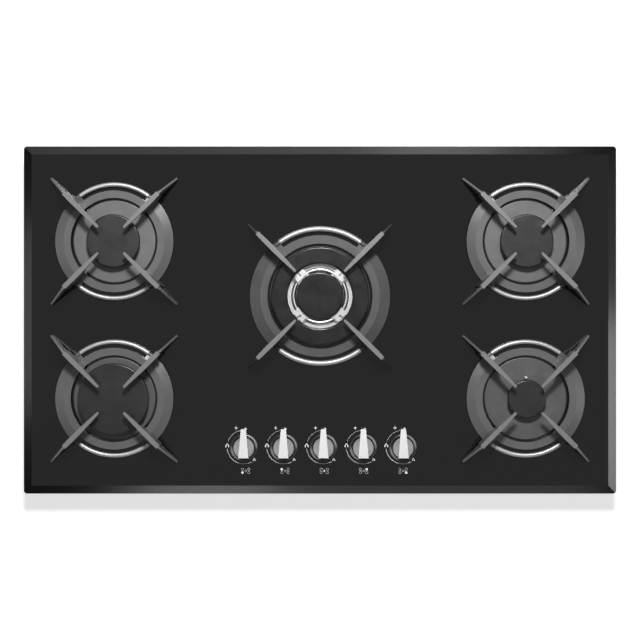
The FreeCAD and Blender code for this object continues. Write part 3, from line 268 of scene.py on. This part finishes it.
def satinSteel(name, centre):
    material, sheet, shader = newFinish("satinSteel_" + name)
    spot = sheet.place()
    x, y, z, radius = sheet.around(centre)
    rings = turnedRings(sheet, radius, plateLook["ringPitch"], sheet.noise(spot, 9 * mm, 2.0) * 5.0)
    cloud = sheet.noise(spot, 14 * mm, 4.0)
    fine = sheet.noise(spot, 0.5 * mm, 2.0)
    # a faint heat tint close to the flames
    heat = sheet.span(radius, plateLook["heatOuter"], plateLook["heatInner"]) * sheet.span(cloud, 0.35, 0.7)
    # painted light and shade: each burner's plate gets its own lighter or darker grey
    base = plateLook["base"][name]
    colour = sheet.tint(cloud, grey(base * 0.9), grey(base * 1.08))
    setShader(sheet, shader, Base_Color=sheet.tint(heat * plateLook["heat"], colour, plateLook["heatColour"]),
              Metallic=plateLook["metal"],
              Roughness=plateLook["rough"] + (cloud - 0.5) * 0.1 + rings * 0.03,
              Normal=sheet.bump(rings * 0.5 + fine, plateLook["ringDepth"], 0.6))
    return material


castLook = {"dark": 0.42, "light": 0.62, "pore": 0.28, "rough": 0.34, "skinSize": 1.1 * mm, "skinDepth": 0.03 * mm}


def castAluminium():
    material, sheet, shader = newFinish("castAluminium")
    spot = sheet.place()
    skin = sheet.noise(spot, castLook["skinSize"], 3.0, 0.65)
    cloud = sheet.noise(spot, 11 * mm, 3.0)
    pores = sheet.span(sheet.cells(spot, 1.9 * mm), 0.15, 0.06)
    colour = sheet.tint(cloud * 0.6 + skin * 0.4, grey(castLook["dark"], -0.005), grey(castLook["light"]))
    setShader(sheet, shader, Base_Color=sheet.tint(pores * 0.35, colour, grey(castLook["pore"])),
              Metallic=1.0, Roughness=castLook["rough"] + (skin - 0.5) * 0.25,
              Normal=sheet.bump(skin - pores, castLook["skinDepth"], 0.8))
    return material


knobLook = {
    "discBase": 0.44, "gripBase": 0.70, "gripLight": 0.84, "gripFrom": 70.2 * mm, "gripTo": 71.2 * mm,
    "ringPitch": 0.45 * mm, "ringDepth": 0.004 * mm, "rough": 0.33, "spacing": 58.3 * mm, "firstX": -111.6 * mm}


def aroundKnobs(sheet, spot):
    # distance and direction from the axis of the nearest knob, and the height
    x, y, z = sheet.parts(spot)
    alongRow = (x - (knobLook["firstX"] - knobLook["spacing"] / 2)) / knobLook["spacing"]
    fromAxisX = (sheet.maths("FRACT", alongRow) - 0.5) * knobLook["spacing"]
    fromAxisY = y - knobRowY
    radius = (fromAxisX * fromAxisX + fromAxisY * fromAxisY) ** 0.5
    return radius, sheet.maths("ARCTAN2", fromAxisY, fromAxisX), z


def knobFinish():
    # turned disc below, smooth bright grip above, in one lacquered aluminium
    material, sheet, shader = newFinish("satinAluminium")
    spot = sheet.place()
    radius, angle, z = aroundKnobs(sheet, spot)
    rings = turnedRings(sheet, radius, knobLook["ringPitch"])
    brushed = sheet.noise(spot, 0.6 * mm, 2.0)
    paintedSheen = sheet.maths("SINE", angle * 2.0 + 1.2)
    grip = sheet.span(z, knobLook["gripFrom"], knobLook["gripTo"])
    cloud = sheet.noise(spot, 6 * mm, 2.0)
    # painted sheen: the disc's grey is lighter in two fans round the knob's axis
    discColour = sheet.tint(0.5 + paintedSheen * 0.35 + (cloud - 0.5) * 0.3,
                            grey(knobLook["discBase"] * 0.8), grey(knobLook["discBase"] * 1.15))
    gripColour = sheet.tint(cloud * 0.4, grey(knobLook["gripBase"]), grey(knobLook["gripLight"]))
    setShader(sheet, shader, Base_Color=sheet.tint(grip, discColour, gripColour),
              Metallic=sheet.span(grip, 0.0, 1.0, 0.85, 0.25),
              Roughness=knobLook["rough"] - grip * 0.08 + (brushed - 0.5) * 0.08,
              Normal=sheet.bump((rings * 0.5 + brushed) * (1.0 - grip), knobLook["ringDepth"], 0.6))
    return material


bezelLook = {
    "dark": 0.05, "light": 0.36, "metal": 0.4, "rough": 0.3, "fanTurn": 0.35,
    "ringPitch": 0.5 * mm, "ringDepth": 0.003 * mm}


def bezelFinish():
    # black lacquer over brushed metal, with two bright fans across the ring painted into its colour as a painted
    # highlight
    material, sheet, shader = newFinish("smokedBezel")
    spot = sheet.place()
    radius, angle, z = aroundKnobs(sheet, spot)
    paintedSheen = sheet.span(sheet.maths("SINE", angle * 2.0 + bezelLook["fanTurn"]), -0.1, 1.0)
    rings = turnedRings(sheet, radius, bezelLook["ringPitch"])
    fine = sheet.noise(spot, 0.4 * mm, 2.0)
    # painted highlight: the base colour runs from dark to light in two fans round the knob's axis
    setShader(sheet, shader,
              Base_Color=sheet.tint(paintedSheen * (0.85 + fine * 0.15), grey(bezelLook["dark"]), grey(bezelLook["light"])),
              Metallic=bezelLook["metal"], Roughness=bezelLook["rough"] + (fine - 0.5) * 0.1,
              Normal=sheet.bump(rings + fine, bezelLook["ringDepth"], 0.5))
    return material


trayLook = {
    "spangleSize": 12 * mm, "warpScale": 90.0, "warpReach": 0.008, "filmSize": 90 * mm,
    "dark": 0.44, "light": 0.66, "film": 0.52, "metal": 0.9, "rough": 0.3, "depth": 0.01 * mm}


def galvanisedSteel():
    material, sheet, shader = newFinish("galvanisedSteel")
    spot = sheet.place()
    swirl = sheet.add("ShaderNodeTexNoise", {}, {"Vector": spot, "Scale": trayLook["warpScale"]}, "Color")
    shift = sheet.add("ShaderNodeVectorMath", {"operation": "SCALE"}, {0: swirl, "Scale": trayLook["warpReach"]})
    warped = sheet.add("ShaderNodeVectorMath", {"operation": "ADD"}, {0: spot, 1: shift})
    grains = sheet.cells(warped, trayLook["spangleSize"], "F1", "Color")
    spangle = sheet.add("ShaderNodeSeparateColor", {}, {0: grains})
    seams = sheet.span(sheet.cells(warped, trayLook["spangleSize"], "DISTANCE_TO_EDGE"), 0.0, 0.05)
    fern = sheet.noise(sheet.place(stretch=(1, 6, 1), turn=(0, 0, 0.7)), 3 * mm, 5.0, 0.7)
    film = sheet.noise(spot, trayLook["filmSize"], 4.0)
    colour = sheet.tint(spangle * 0.7 + fern * 0.3, grey(trayLook["dark"], -0.01), grey(trayLook["light"], -0.015))
    setShader(sheet, shader, Base_Color=sheet.tint(film * 0.25, colour, grey(trayLook["film"])),
              Metallic=trayLook["metal"],
              Roughness=trayLook["rough"] + spangle * 0.18 + film * 0.12 - seams * 0.04,
              Normal=sheet.bump(spangle + fern * 0.5 + seams * 0.2, trayLook["depth"], 0.6))
    return material


def foam():
    material, sheet, shader = newFinish("closedCellFoam")
    spot = sheet.place()
    bubbles = sheet.cells(spot, 0.9 * mm)
    cloud = sheet.noise(spot, 15 * mm, 3.0)
    setShader(sheet, shader, Base_Color=sheet.tint(bubbles * 0.8 + cloud * 0.2, grey(0.02), grey(0.07)),
              Roughness=0.85 + (cloud - 0.5) * 0.1, Normal=sheet.bump(bubbles, 0.15 * mm, 0.9))
    return material


def rubber(name, level):
    material, sheet, shader = newFinish(name)
    spot = sheet.place()
    fine = sheet.noise(spot, 0.35 * mm, 3.0)
    bloom = sheet.noise(spot, 9 * mm, 3.0)
    setShader(sheet, shader, Base_Color=sheet.tint(bloom, grey(level * 0.8), grey(level * 1.4)),
              Roughness=0.62 + (bloom - 0.5) * 0.2, Normal=sheet.bump(fine, 0.02 * mm, 0.7))
    return material


def machinedMetal(name, dark, light, rough, toolMark):
    material, sheet, shader = newFinish(name)
    spot = sheet.place()
    cloud = sheet.noise(spot, 7 * mm, 3.0)
    marks = sheet.noise(sheet.place(stretch=(1, 1, 14)), toolMark, 2.0)
    setShader(sheet, shader, Base_Color=sheet.tint(cloud, dark, light), Metallic=1.0,
              Roughness=rough + (cloud - 0.5) * 0.14 + (marks - 0.5) * 0.1,
              Normal=sheet.bump(marks, 0.01 * mm, 0.5))
    return material


electrodeLook = {"tipStart": 70.4 * mm, "tipFade": 0.2 * mm, "sootFrom": 66 * mm, "sootTo": 71 * mm,
                 "glaze": 0.84, "soot": (0.5, 0.44, 0.36, 1.0), "tip": 0.6}


def whiteCeramic():
    # glazed insulator, with the bare steel tip over it
    material, sheet, shader = newFinish("whiteCeramic")
    spot = sheet.place()
    x, y, z = sheet.parts(spot)
    tip = sheet.span(z, electrodeLook["tipStart"], electrodeLook["tipStart"] + electrodeLook["tipFade"])
    cloud = sheet.noise(spot, 2 * mm, 2.0)
    soot = sheet.span(z, electrodeLook["sootFrom"], electrodeLook["sootTo"]) * cloud
    glaze = sheet.tint(soot * 0.3, grey(electrodeLook["glaze"], 0.02), electrodeLook["soot"])
    setShader(sheet, shader, Base_Color=sheet.tint(tip, glaze, grey(electrodeLook["tip"])), Metallic=tip,
              Roughness=0.22 + tip * 0.15 + (cloud - 0.5) * 0.08,
              Normal=sheet.bump(cloud, 0.01 * mm, 0.5))
    return material


def whitePrint():
    material, sheet, shader = newFinish("whitePrint")
    spot = sheet.place()
    cover = sheet.noise(spot, 1.2 * mm, 3.0)
    setShader(sheet, shader, Base_Color=sheet.tint(sheet.span(cover, 0.3, 0.7), grey(0.66), grey(0.86)),
              Roughness=0.45 + (cover - 0.5) * 0.2, Normal=sheet.bump(cover, 0.004 * mm, 0.6))
    return material


finishes = {
    "black_glass": blackGlass(), "foam": foam(), "galvanised_steel": galvanisedSteel(),
    "black_rubber": rubber("blackRubber", 0.02),
    "black_enamel": blackEnamel("blackEnamel", capLook["round"]), "cast_aluminium": castAluminium(),
    "satin_aluminium": knobFinish(), "gloss_black": bezelFinish(),
    "brass": machinedMetal("brass", (0.62, 0.42, 0.16, 1), (0.80, 0.60, 0.28, 1), 0.28, 1.2 * mm),
    "zinc_steel": machinedMetal("zincSteel", (0.52, 0.53, 0.55, 1), (0.70, 0.70, 0.68, 1), 0.3, 0.9 * mm),
    "white_ceramic": whiteCeramic(), "black_plastic": rubber("blackPlastic", 0.03),
    "tube_aluminium": machinedMetal("tubeAluminium", (0.62, 0.63, 0.65, 1), (0.78, 0.78, 0.78, 1), 0.32, 2.0 * mm),
    "lead_rubber": rubber("leadRubber", 0.12)}
print("finishes made:", len(finishes))


# modelling helpers

def clearSelection():
    if bpy.context.object and bpy.context.object.mode != "OBJECT":
        bpy.ops.object.mode_set(mode="OBJECT")
    bpy.ops.object.select_all(action="DESELECT")


def pick(piece):
    clearSelection()
    piece.select_set(True)
    bpy.context.view_layer.objects.active = piece


def editAll(piece, mode="VERT"):
    pick(piece)
    bpy.ops.object.mode_set(mode="EDIT")
    bpy.ops.mesh.select_mode(type=mode)
    bpy.ops.mesh.select_all(action="SELECT")


def choose(piece, test, kind="verts"):
    # selects the vertices or edges whose middle passes the test
    mesh = bmesh.from_edit_mesh(piece.data)
    for group in (mesh.verts, mesh.edges, mesh.faces):
        for part in group:
            part.select = False
    for part in getattr(mesh, kind):
        middle = part.co if kind == "verts" else (part.verts[0].co + part.verts[1].co) / 2
        if test(middle):
            part.select_set(True)
    bmesh.update_edit_mesh(piece.data)


def applyModifier(piece, kind, **settings):
    pick(piece)
    modifier = piece.modifiers.new(kind.title(), kind)
    for key, setting in settings.items():
        setattr(modifier, key, setting)
    bpy.ops.object.modifier_apply(modifier=modifier.name)


def finishPiece(piece, name, body, material):
    pick(piece)
    bpy.ops.object.transform_apply(location=True, rotation=True, scale=True)
    piece.name = name
    piece.data.name = name
    piece.data.materials.clear()
    piece.data.materials.append(material)
    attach(piece, body)


copyLook = {"weld": 0.004 * mm, "mergeAngle": 0.4, "segments": 2, "smoothTo": 40,
            "creaseAcross": 0.4 * mm, "creaseAlong": 0.3 * mm}


def softenedCopy(node, slotName, look, material=None, crease=None):
    # a copy of a node with its facets merged and its hard edges rounded
    mesh = nodes[node].data.copy()
    piece = bpy.data.objects.new(node + "_soft", mesh)
    bpy.context.scene.collection.objects.link(piece)
    editAll(piece)
    bpy.ops.mesh.customdata_custom_splitnormals_clear()
    bpy.ops.mesh.remove_doubles(threshold=copyLook["weld"])
    bpy.ops.mesh.dissolve_limited(angle_limit=math.radians(copyLook["mergeAngle"]))
    bpy.ops.object.mode_set(mode="OBJECT")
    applyModifier(piece, "BEVEL", width=look["edge"], segments=look.get("segments", copyLook["segments"]),
                  limit_method="ANGLE", angle_limit=math.radians(look["angle"]), use_clamp_overlap=True,
                  miter_outer="MITER_ARC")
    pick(piece)
    bpy.ops.object.shade_smooth_by_angle(angle=math.radians(look.get("smoothTo", copyLook["smoothTo"])))
    if crease:
        # the fold between the flat land and the outer slope of a ring stays crisp
        centre, radius, height = crease
        editAll(piece, "EDGE")
        choose(piece, lambda spot: abs(spot.z - height) < copyLook["creaseAlong"] and abs(
            math.hypot(spot.x - centre[0], spot.y - centre[1]) - radius) < copyLook["creaseAcross"], "edges")
        bpy.ops.mesh.mark_sharp()
        bpy.ops.object.mode_set(mode="OBJECT")
    applyModifier(piece, "WEIGHTED_NORMAL", keep_sharp=True, mode="FACE_AREA_WITH_ANGLE", weight=50)
    finishPiece(piece, node + "_piece", bodyOfNode[node], material or finishes[slotName])
    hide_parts(node)


# carried-over nodes get their finishes

slotOfNode = {row["node"]: row["material_slot"] for row in frame["record"]["subparts"]}
plateFinish = {burner: satinSteel(burner, place) for burner, place in burnerPlaces.items()}
ironFinish = {}
for burner, place in burnerPlaces.items():
    supportKind = "centre" if burner == "centre" else "corner"
    ironFinish[burner] = greyEnamelIron(burner, place, ironLook["rimFrom"][supportKind])
tripleEnamel = blackEnamel("blackEnamelTriple", capLook["triple"])
for node, thing in nodes.items():
    slotName = slotOfNode[node]
    if slotName in ("satin_steel", "grey_enamel_iron"):
        burner = [name for name in burnerPlaces if node.startswith(name)][0]
        material = plateFinish[burner] if slotName == "satin_steel" else ironFinish[burner]
    elif node in ("centre_burner_cap", "centre_ring_cap"):
        material = tripleEnamel
    else:
        material = finishes[slotName]
    for place in range(max(1, len(thing.data.materials))):
        if len(thing.data.materials) <= place:
            thing.data.materials.append(material)
        else:
            thing.data.materials[place] = material
print("nodes finished")


# softened copies of the parts that show

ringLook = {"crease": {"corner": 73.8 * mm, "centre": 87.4 * mm}, "landHeight": 69 * mm}
edgeLook = {  # width of the rounding, and the angles in degrees from which it and the sharp shading start
    "glass_panel": {"edge": 0.5 * mm, "angle": 40, "smoothTo": 8},
    "pan_support": {"edge": 0.55 * mm, "angle": 35, "segments": 3},
    "burner_cap": {"edge": 0.4 * mm, "angle": 40},
    "burner_crown": {"edge": 0.35 * mm, "angle": 40, "segments": 1},
    "knob": {"edge": 0.45 * mm, "angle": 25, "segments": 3}}
softenedCopy("glass_panel", "black_glass", edgeLook["glass_panel"])
for burner, place in burnerPlaces.items():
    creaseRadius = ringLook["crease"]["centre" if burner == "centre" else "corner"]
    softenedCopy(burner + "_pan_support", "grey_enamel_iron", edgeLook["pan_support"], ironFinish[burner],
                 crease=(place, creaseRadius, ringLook["landHeight"]))
    softenedCopy(burner + "_burner_cap", "black_enamel", edgeLook["burner_cap"],
                 tripleEnamel if burner == "centre" else None)
    softenedCopy(burner + "_burner_crown", "cast_aluminium", edgeLook["burner_crown"])
    softenedCopy(burner + "_knob", "satin_aluminium", edgeLook["knob"])
softenedCopy("centre_ring_cap", "black_enamel", edgeLook["burner_cap"], tripleEnamel)
print("edges softened")


# printed marks on the glass

markLook = {
    "lift": 0.006 * mm, "thickness": 0.03 * mm,
    "arcRadius": 24.7 * mm, "arcCentreY": 0.7 * mm,
    "upperArc": (99, 160), "upperArcWidth": 0.35 * mm, "lowerArc": (186, 298), "lowerArcWidth": 0.62 * mm,
    "star": (-11.6 * mm, 28.6 * mm, 3.1 * mm), "offDot": (2.3 * mm, 27.0 * mm, 1.9 * mm),
    "largeFlame": (-24.5 * mm, 2.0 * mm, 2.9 * mm), "smallFlame": (15.3 * mm, -18.6 * mm, 2.0 * mm),
    "iconY": -34.4 * mm, "iconSpreadX": 4.6 * mm, "iconSpreadY": 2.4 * mm, "iconCircle": 1.9 * mm,
    "iconLine": 0.32 * mm, "iconCentreSize": 0.75, "arcStep": 2.5,
    "iconShift": {"front_left": 2.5 * mm, "rear_left": 1.8 * mm, "centre": 1.2 * mm,
                  "rear_right": 0.6 * mm, "front_right": 0.2 * mm}}
markHeight = glassTop + markLook["lift"]


def discMark(x, y, radius, vertices=28):
    clearSelection()
    bpy.ops.mesh.primitive_circle_add(vertices=vertices, radius=radius, fill_type="NGON",
                                      location=(x, y, markHeight))
    return bpy.context.object


def ringMark(x, y, radius, line, vertices=28):
    ring = discMark(x, y, radius, vertices)
    editAll(ring, "FACE")
    bpy.ops.mesh.inset(thickness=line, depth=0)
    bpy.ops.mesh.delete(type="FACE")
    bpy.ops.object.mode_set(mode="OBJECT")
    return ring


def starMark(x, y, reach):
    star = discMark(x, y, reach, 8)
    editAll(star)
    choose(star, lambda spot: min(abs(spot.x), abs(spot.y)) > reach * 0.2)
    bpy.ops.transform.resize(value=(0.3, 0.3, 1), center_override=(x, y, markHeight))
    bpy.ops.object.mode_set(mode="OBJECT")
    return star


def arcMark(x, y, radius, width, start, end):
    # a short radial edge is spun round the knob's axis
    clearSelection()
    bpy.ops.mesh.primitive_plane_add(size=1, location=(x, y, markHeight))
    arc = bpy.context.object
    editAll(arc)
    choose(arc, lambda spot: spot.y > 0)
    bpy.ops.mesh.delete(type="VERT")
    bpy.ops.mesh.select_all(action="SELECT")
    away = Vector((math.cos(math.radians(start)), math.sin(math.radians(start)), 0))
    mesh = bmesh.from_edit_mesh(arc.data)
    for point, reach in zip(mesh.verts, (radius - width / 2, radius + width / 2)):
        point.co = away * reach
    bmesh.update_edit_mesh(arc.data)
    bpy.ops.mesh.spin(steps=int((end - start) / markLook["arcStep"]), angle=math.radians(start - end),
                      dupli=False, center=(x, y, markHeight), axis=(0, 0, 1))
    bpy.ops.object.mode_set(mode="OBJECT")
    return arc


def flameMark(x, y, size):
    # a small open flame: half a ring with its crown drawn up to a point
    flame = ringMark(x, y, size, size * 0.6, 24)
    editAll(flame)
    choose(flame, lambda spot: spot.y < -size * 0.3)
    bpy.ops.mesh.delete(type="VERT")
    choose(flame, lambda spot: abs(spot.x) < size * 0.3 and spot.y > 0)
    bpy.ops.transform.translate(value=(0, size * 0.42, 0))
    choose(flame, lambda spot: spot.y < 0)
    bpy.ops.transform.translate(value=(0, -size * 0.35, 0))
    bpy.ops.object.mode_set(mode="OBJECT")
    return flame


def printMarks():
    marks = []
    corners = {"rear_left": (-1, 1), "rear_right": (1, 1), "front_left": (-1, -1), "front_right": (1, -1),
               "centre": (0, 0)}
    makers = {"star": starMark, "offDot": discMark, "largeFlame": flameMark, "smallFlame": flameMark}
    for burner, x in knobRow.items():
        y = knobRowY
        arcY = y + markLook["arcCentreY"]
        marks.append(arcMark(x, arcY, markLook["arcRadius"], markLook["upperArcWidth"], *markLook["upperArc"]))
        marks.append(arcMark(x, arcY, markLook["arcRadius"], markLook["lowerArcWidth"], *markLook["lowerArc"]))
        for kind, maker in makers.items():
            across, along, reach = markLook[kind]
            marks.append(maker(x + across, y + along, reach))
        iconX = x + markLook["iconShift"][burner]
        for spot, (across, along) in corners.items():
            circleX = iconX + across * markLook["iconSpreadX"]
            circleY = y + markLook["iconY"] + along * markLook["iconSpreadY"]
            radius = markLook["iconCircle"] * (markLook["iconCentreSize"] if spot == "centre" else 1.0)
            if spot == burner:
                marks.append(discMark(circleX, circleY, radius))
            else:
                marks.append(ringMark(circleX, circleY, radius, markLook["iconLine"]))
    clearSelection()
    for mark in marks:
        mark.select_set(True)
    bpy.context.view_layer.objects.active = marks[0]
    bpy.ops.object.join()
    sheetOfMarks = bpy.context.object
    applyModifier(sheetOfMarks, "SOLIDIFY", thickness=markLook["thickness"], offset=1)
    editAll(sheetOfMarks)
    bpy.ops.mesh.normals_make_consistent(inside=False)
    bpy.ops.object.mode_set(mode="OBJECT")
    finishPiece(sheetOfMarks, "printed_marks", "root", whitePrint())


printMarks()
print("marks printed")


# floor, light and camera

studioLook = {
    "floorSize": 30.0, "floorHeight": -0.5 * mm, "floorDark": 0.56, "floorLight": 0.58, "floorRough": 0.85,
    "floorGlow": 0.62, "farGlow": 1.05, "nearFloor": 1.0, "farFloor": 3.0,
    "zenith": 0.42, "zenithFrom": 0.90, "zenithTo": 0.978, "middle": 0.045, "horizon": 0.16, "horizonFrom": 0.55,
    "whiteFrom": 0.2, "whiteTo": 0.05,
    "cameraHeight": 2.3, "lens": 88.2, "sensor": 36}


def makeFloor():
    clearSelection()
    bpy.ops.mesh.primitive_plane_add(size=studioLook["floorSize"], location=(0, 0, studioLook["floorHeight"]))
    floor = bpy.context.object
    floor.name = "floor"
    material, sheet, shader = newFinish("paleFloor")
    patch = sheet.noise(sheet.place(), 0.4, 2.0)
    setShader(sheet, shader, Roughness=studioLook["floorRough"],
              Base_Color=sheet.tint(patch, grey(studioLook["floorDark"]), grey(studioLook["floorLight"])))
    # the far floor glows more, so that it stays white beyond the lamps
    x, y, z, radius = sheet.around((0, 0))
    far = sheet.span(radius, studioLook["nearFloor"], studioLook["farFloor"],
                     0.0, studioLook["farGlow"] - studioLook["floorGlow"])
    glow = sheet.add("ShaderNodeEmission", {}, {"Color": far + studioLook["floorGlow"], "Strength": 1.0})
    lit = sheet.add("ShaderNodeAddShader", {}, {0: Wire(sheet, shader.outputs[0]), 1: glow})
    sheet.feed(sheet.tree.nodes["Material Output"].inputs["Surface"], lit)
    floor.data.materials.append(material)


def makeWorld():
    world = bpy.data.worlds.new("paleStudio")
    bpy.context.scene.world = world
    world.use_nodes = True
    sheet = NodeSheet(world.node_tree)
    background = world.node_tree.nodes["Background"]
    x, y, z = sheet.parts(sheet.add("ShaderNodeTexCoord", output="Generated"))
    overhead = sheet.span(z, studioLook["zenithFrom"], studioLook["zenithTo"],
                          0.0, studioLook["zenith"] - studioLook["middle"])
    low = sheet.span(z, studioLook["horizonFrom"], 0.0, 0.0, studioLook["horizon"] - studioLook["middle"])
    level = studioLook["middle"] + overhead + low
    rays = world.node_tree.nodes.new("ShaderNodeLightPath")
    seen = Wire(sheet, rays.outputs["Is Camera Ray"])
    mirrored = Wire(sheet, rays.outputs["Is Glossy Ray"]) + Wire(sheet, rays.outputs["Is Transmission Ray"])
    nearHorizon = sheet.span(z, studioLook["whiteFrom"], studioLook["whiteTo"])
    white = sheet.maths("MINIMUM", seen + mirrored * nearHorizon, 1.0)
    background.inputs["Color"].default_value = grey(1.0)
    sheet.feed(background.inputs["Strength"], level + (1.0 - level) * white)


def softbox(name, place, size, radiance):
    # a rectangular lamp of a given brightness, facing the middle of the glass
    data = bpy.data.lights.new(name, "AREA")
    data.shape = "RECTANGLE"
    data.size, data.size_y = size
    data.energy = radiance * math.pi * size[0] * size[1]
    lamp = bpy.data.objects.new(name, data)
    bpy.context.scene.collection.objects.link(lamp)
    lamp.location = place
    lamp.rotation_mode = "QUATERNION"
    lamp.rotation_quaternion = (Vector(place) - Vector((0, 0, glassTop))).to_track_quat("Z", "Y")


makeFloor()
makeWorld()
lamps = {  # place, size across and along, brightness
    "rearKey": ((0.05, 1.06, 2.33), (0.34, 0.34), 160.0),
    "rearWide": ((-0.1, 1.66, 2.16), (1.7, 0.8), 0.95),
    "rearSpot": ((0.36, 1.64, 2.14), (0.34, 0.6), 1.5),
    "frontWide": ((0.1, -1.66, 2.14), (1.5, 0.5), 0.85),
    "frontSpot": ((-0.34, -1.66, 2.14), (0.4, 0.5), 1.9),
    "leftSide": ((-2.1, 0.0, 2.1), (0.6, 1.6), 1.25),
    "rightSide": ((2.1, 0.2, 2.1), (0.6, 1.2), 0.5),
    "rightLow": ((2.1, -0.3, 2.1), (0.6, 0.5), 5.0)}
for lampName, (place, size, brightness) in lamps.items():
    softbox(lampName, place, size, brightness)

cameraData = bpy.data.cameras.new("overheadCamera")
camera = bpy.data.objects.new("overheadCamera", cameraData)
bpy.context.scene.collection.objects.link(camera)
cameraData.lens = studioLook["lens"]
cameraData.sensor_width = studioLook["sensor"]
camera.location = (0, 0, glassTop + studioLook["cameraHeight"])
bpy.context.scene.camera = camera
bpy.context.scene.view_settings.view_transform = "Standard"
print("studio set")
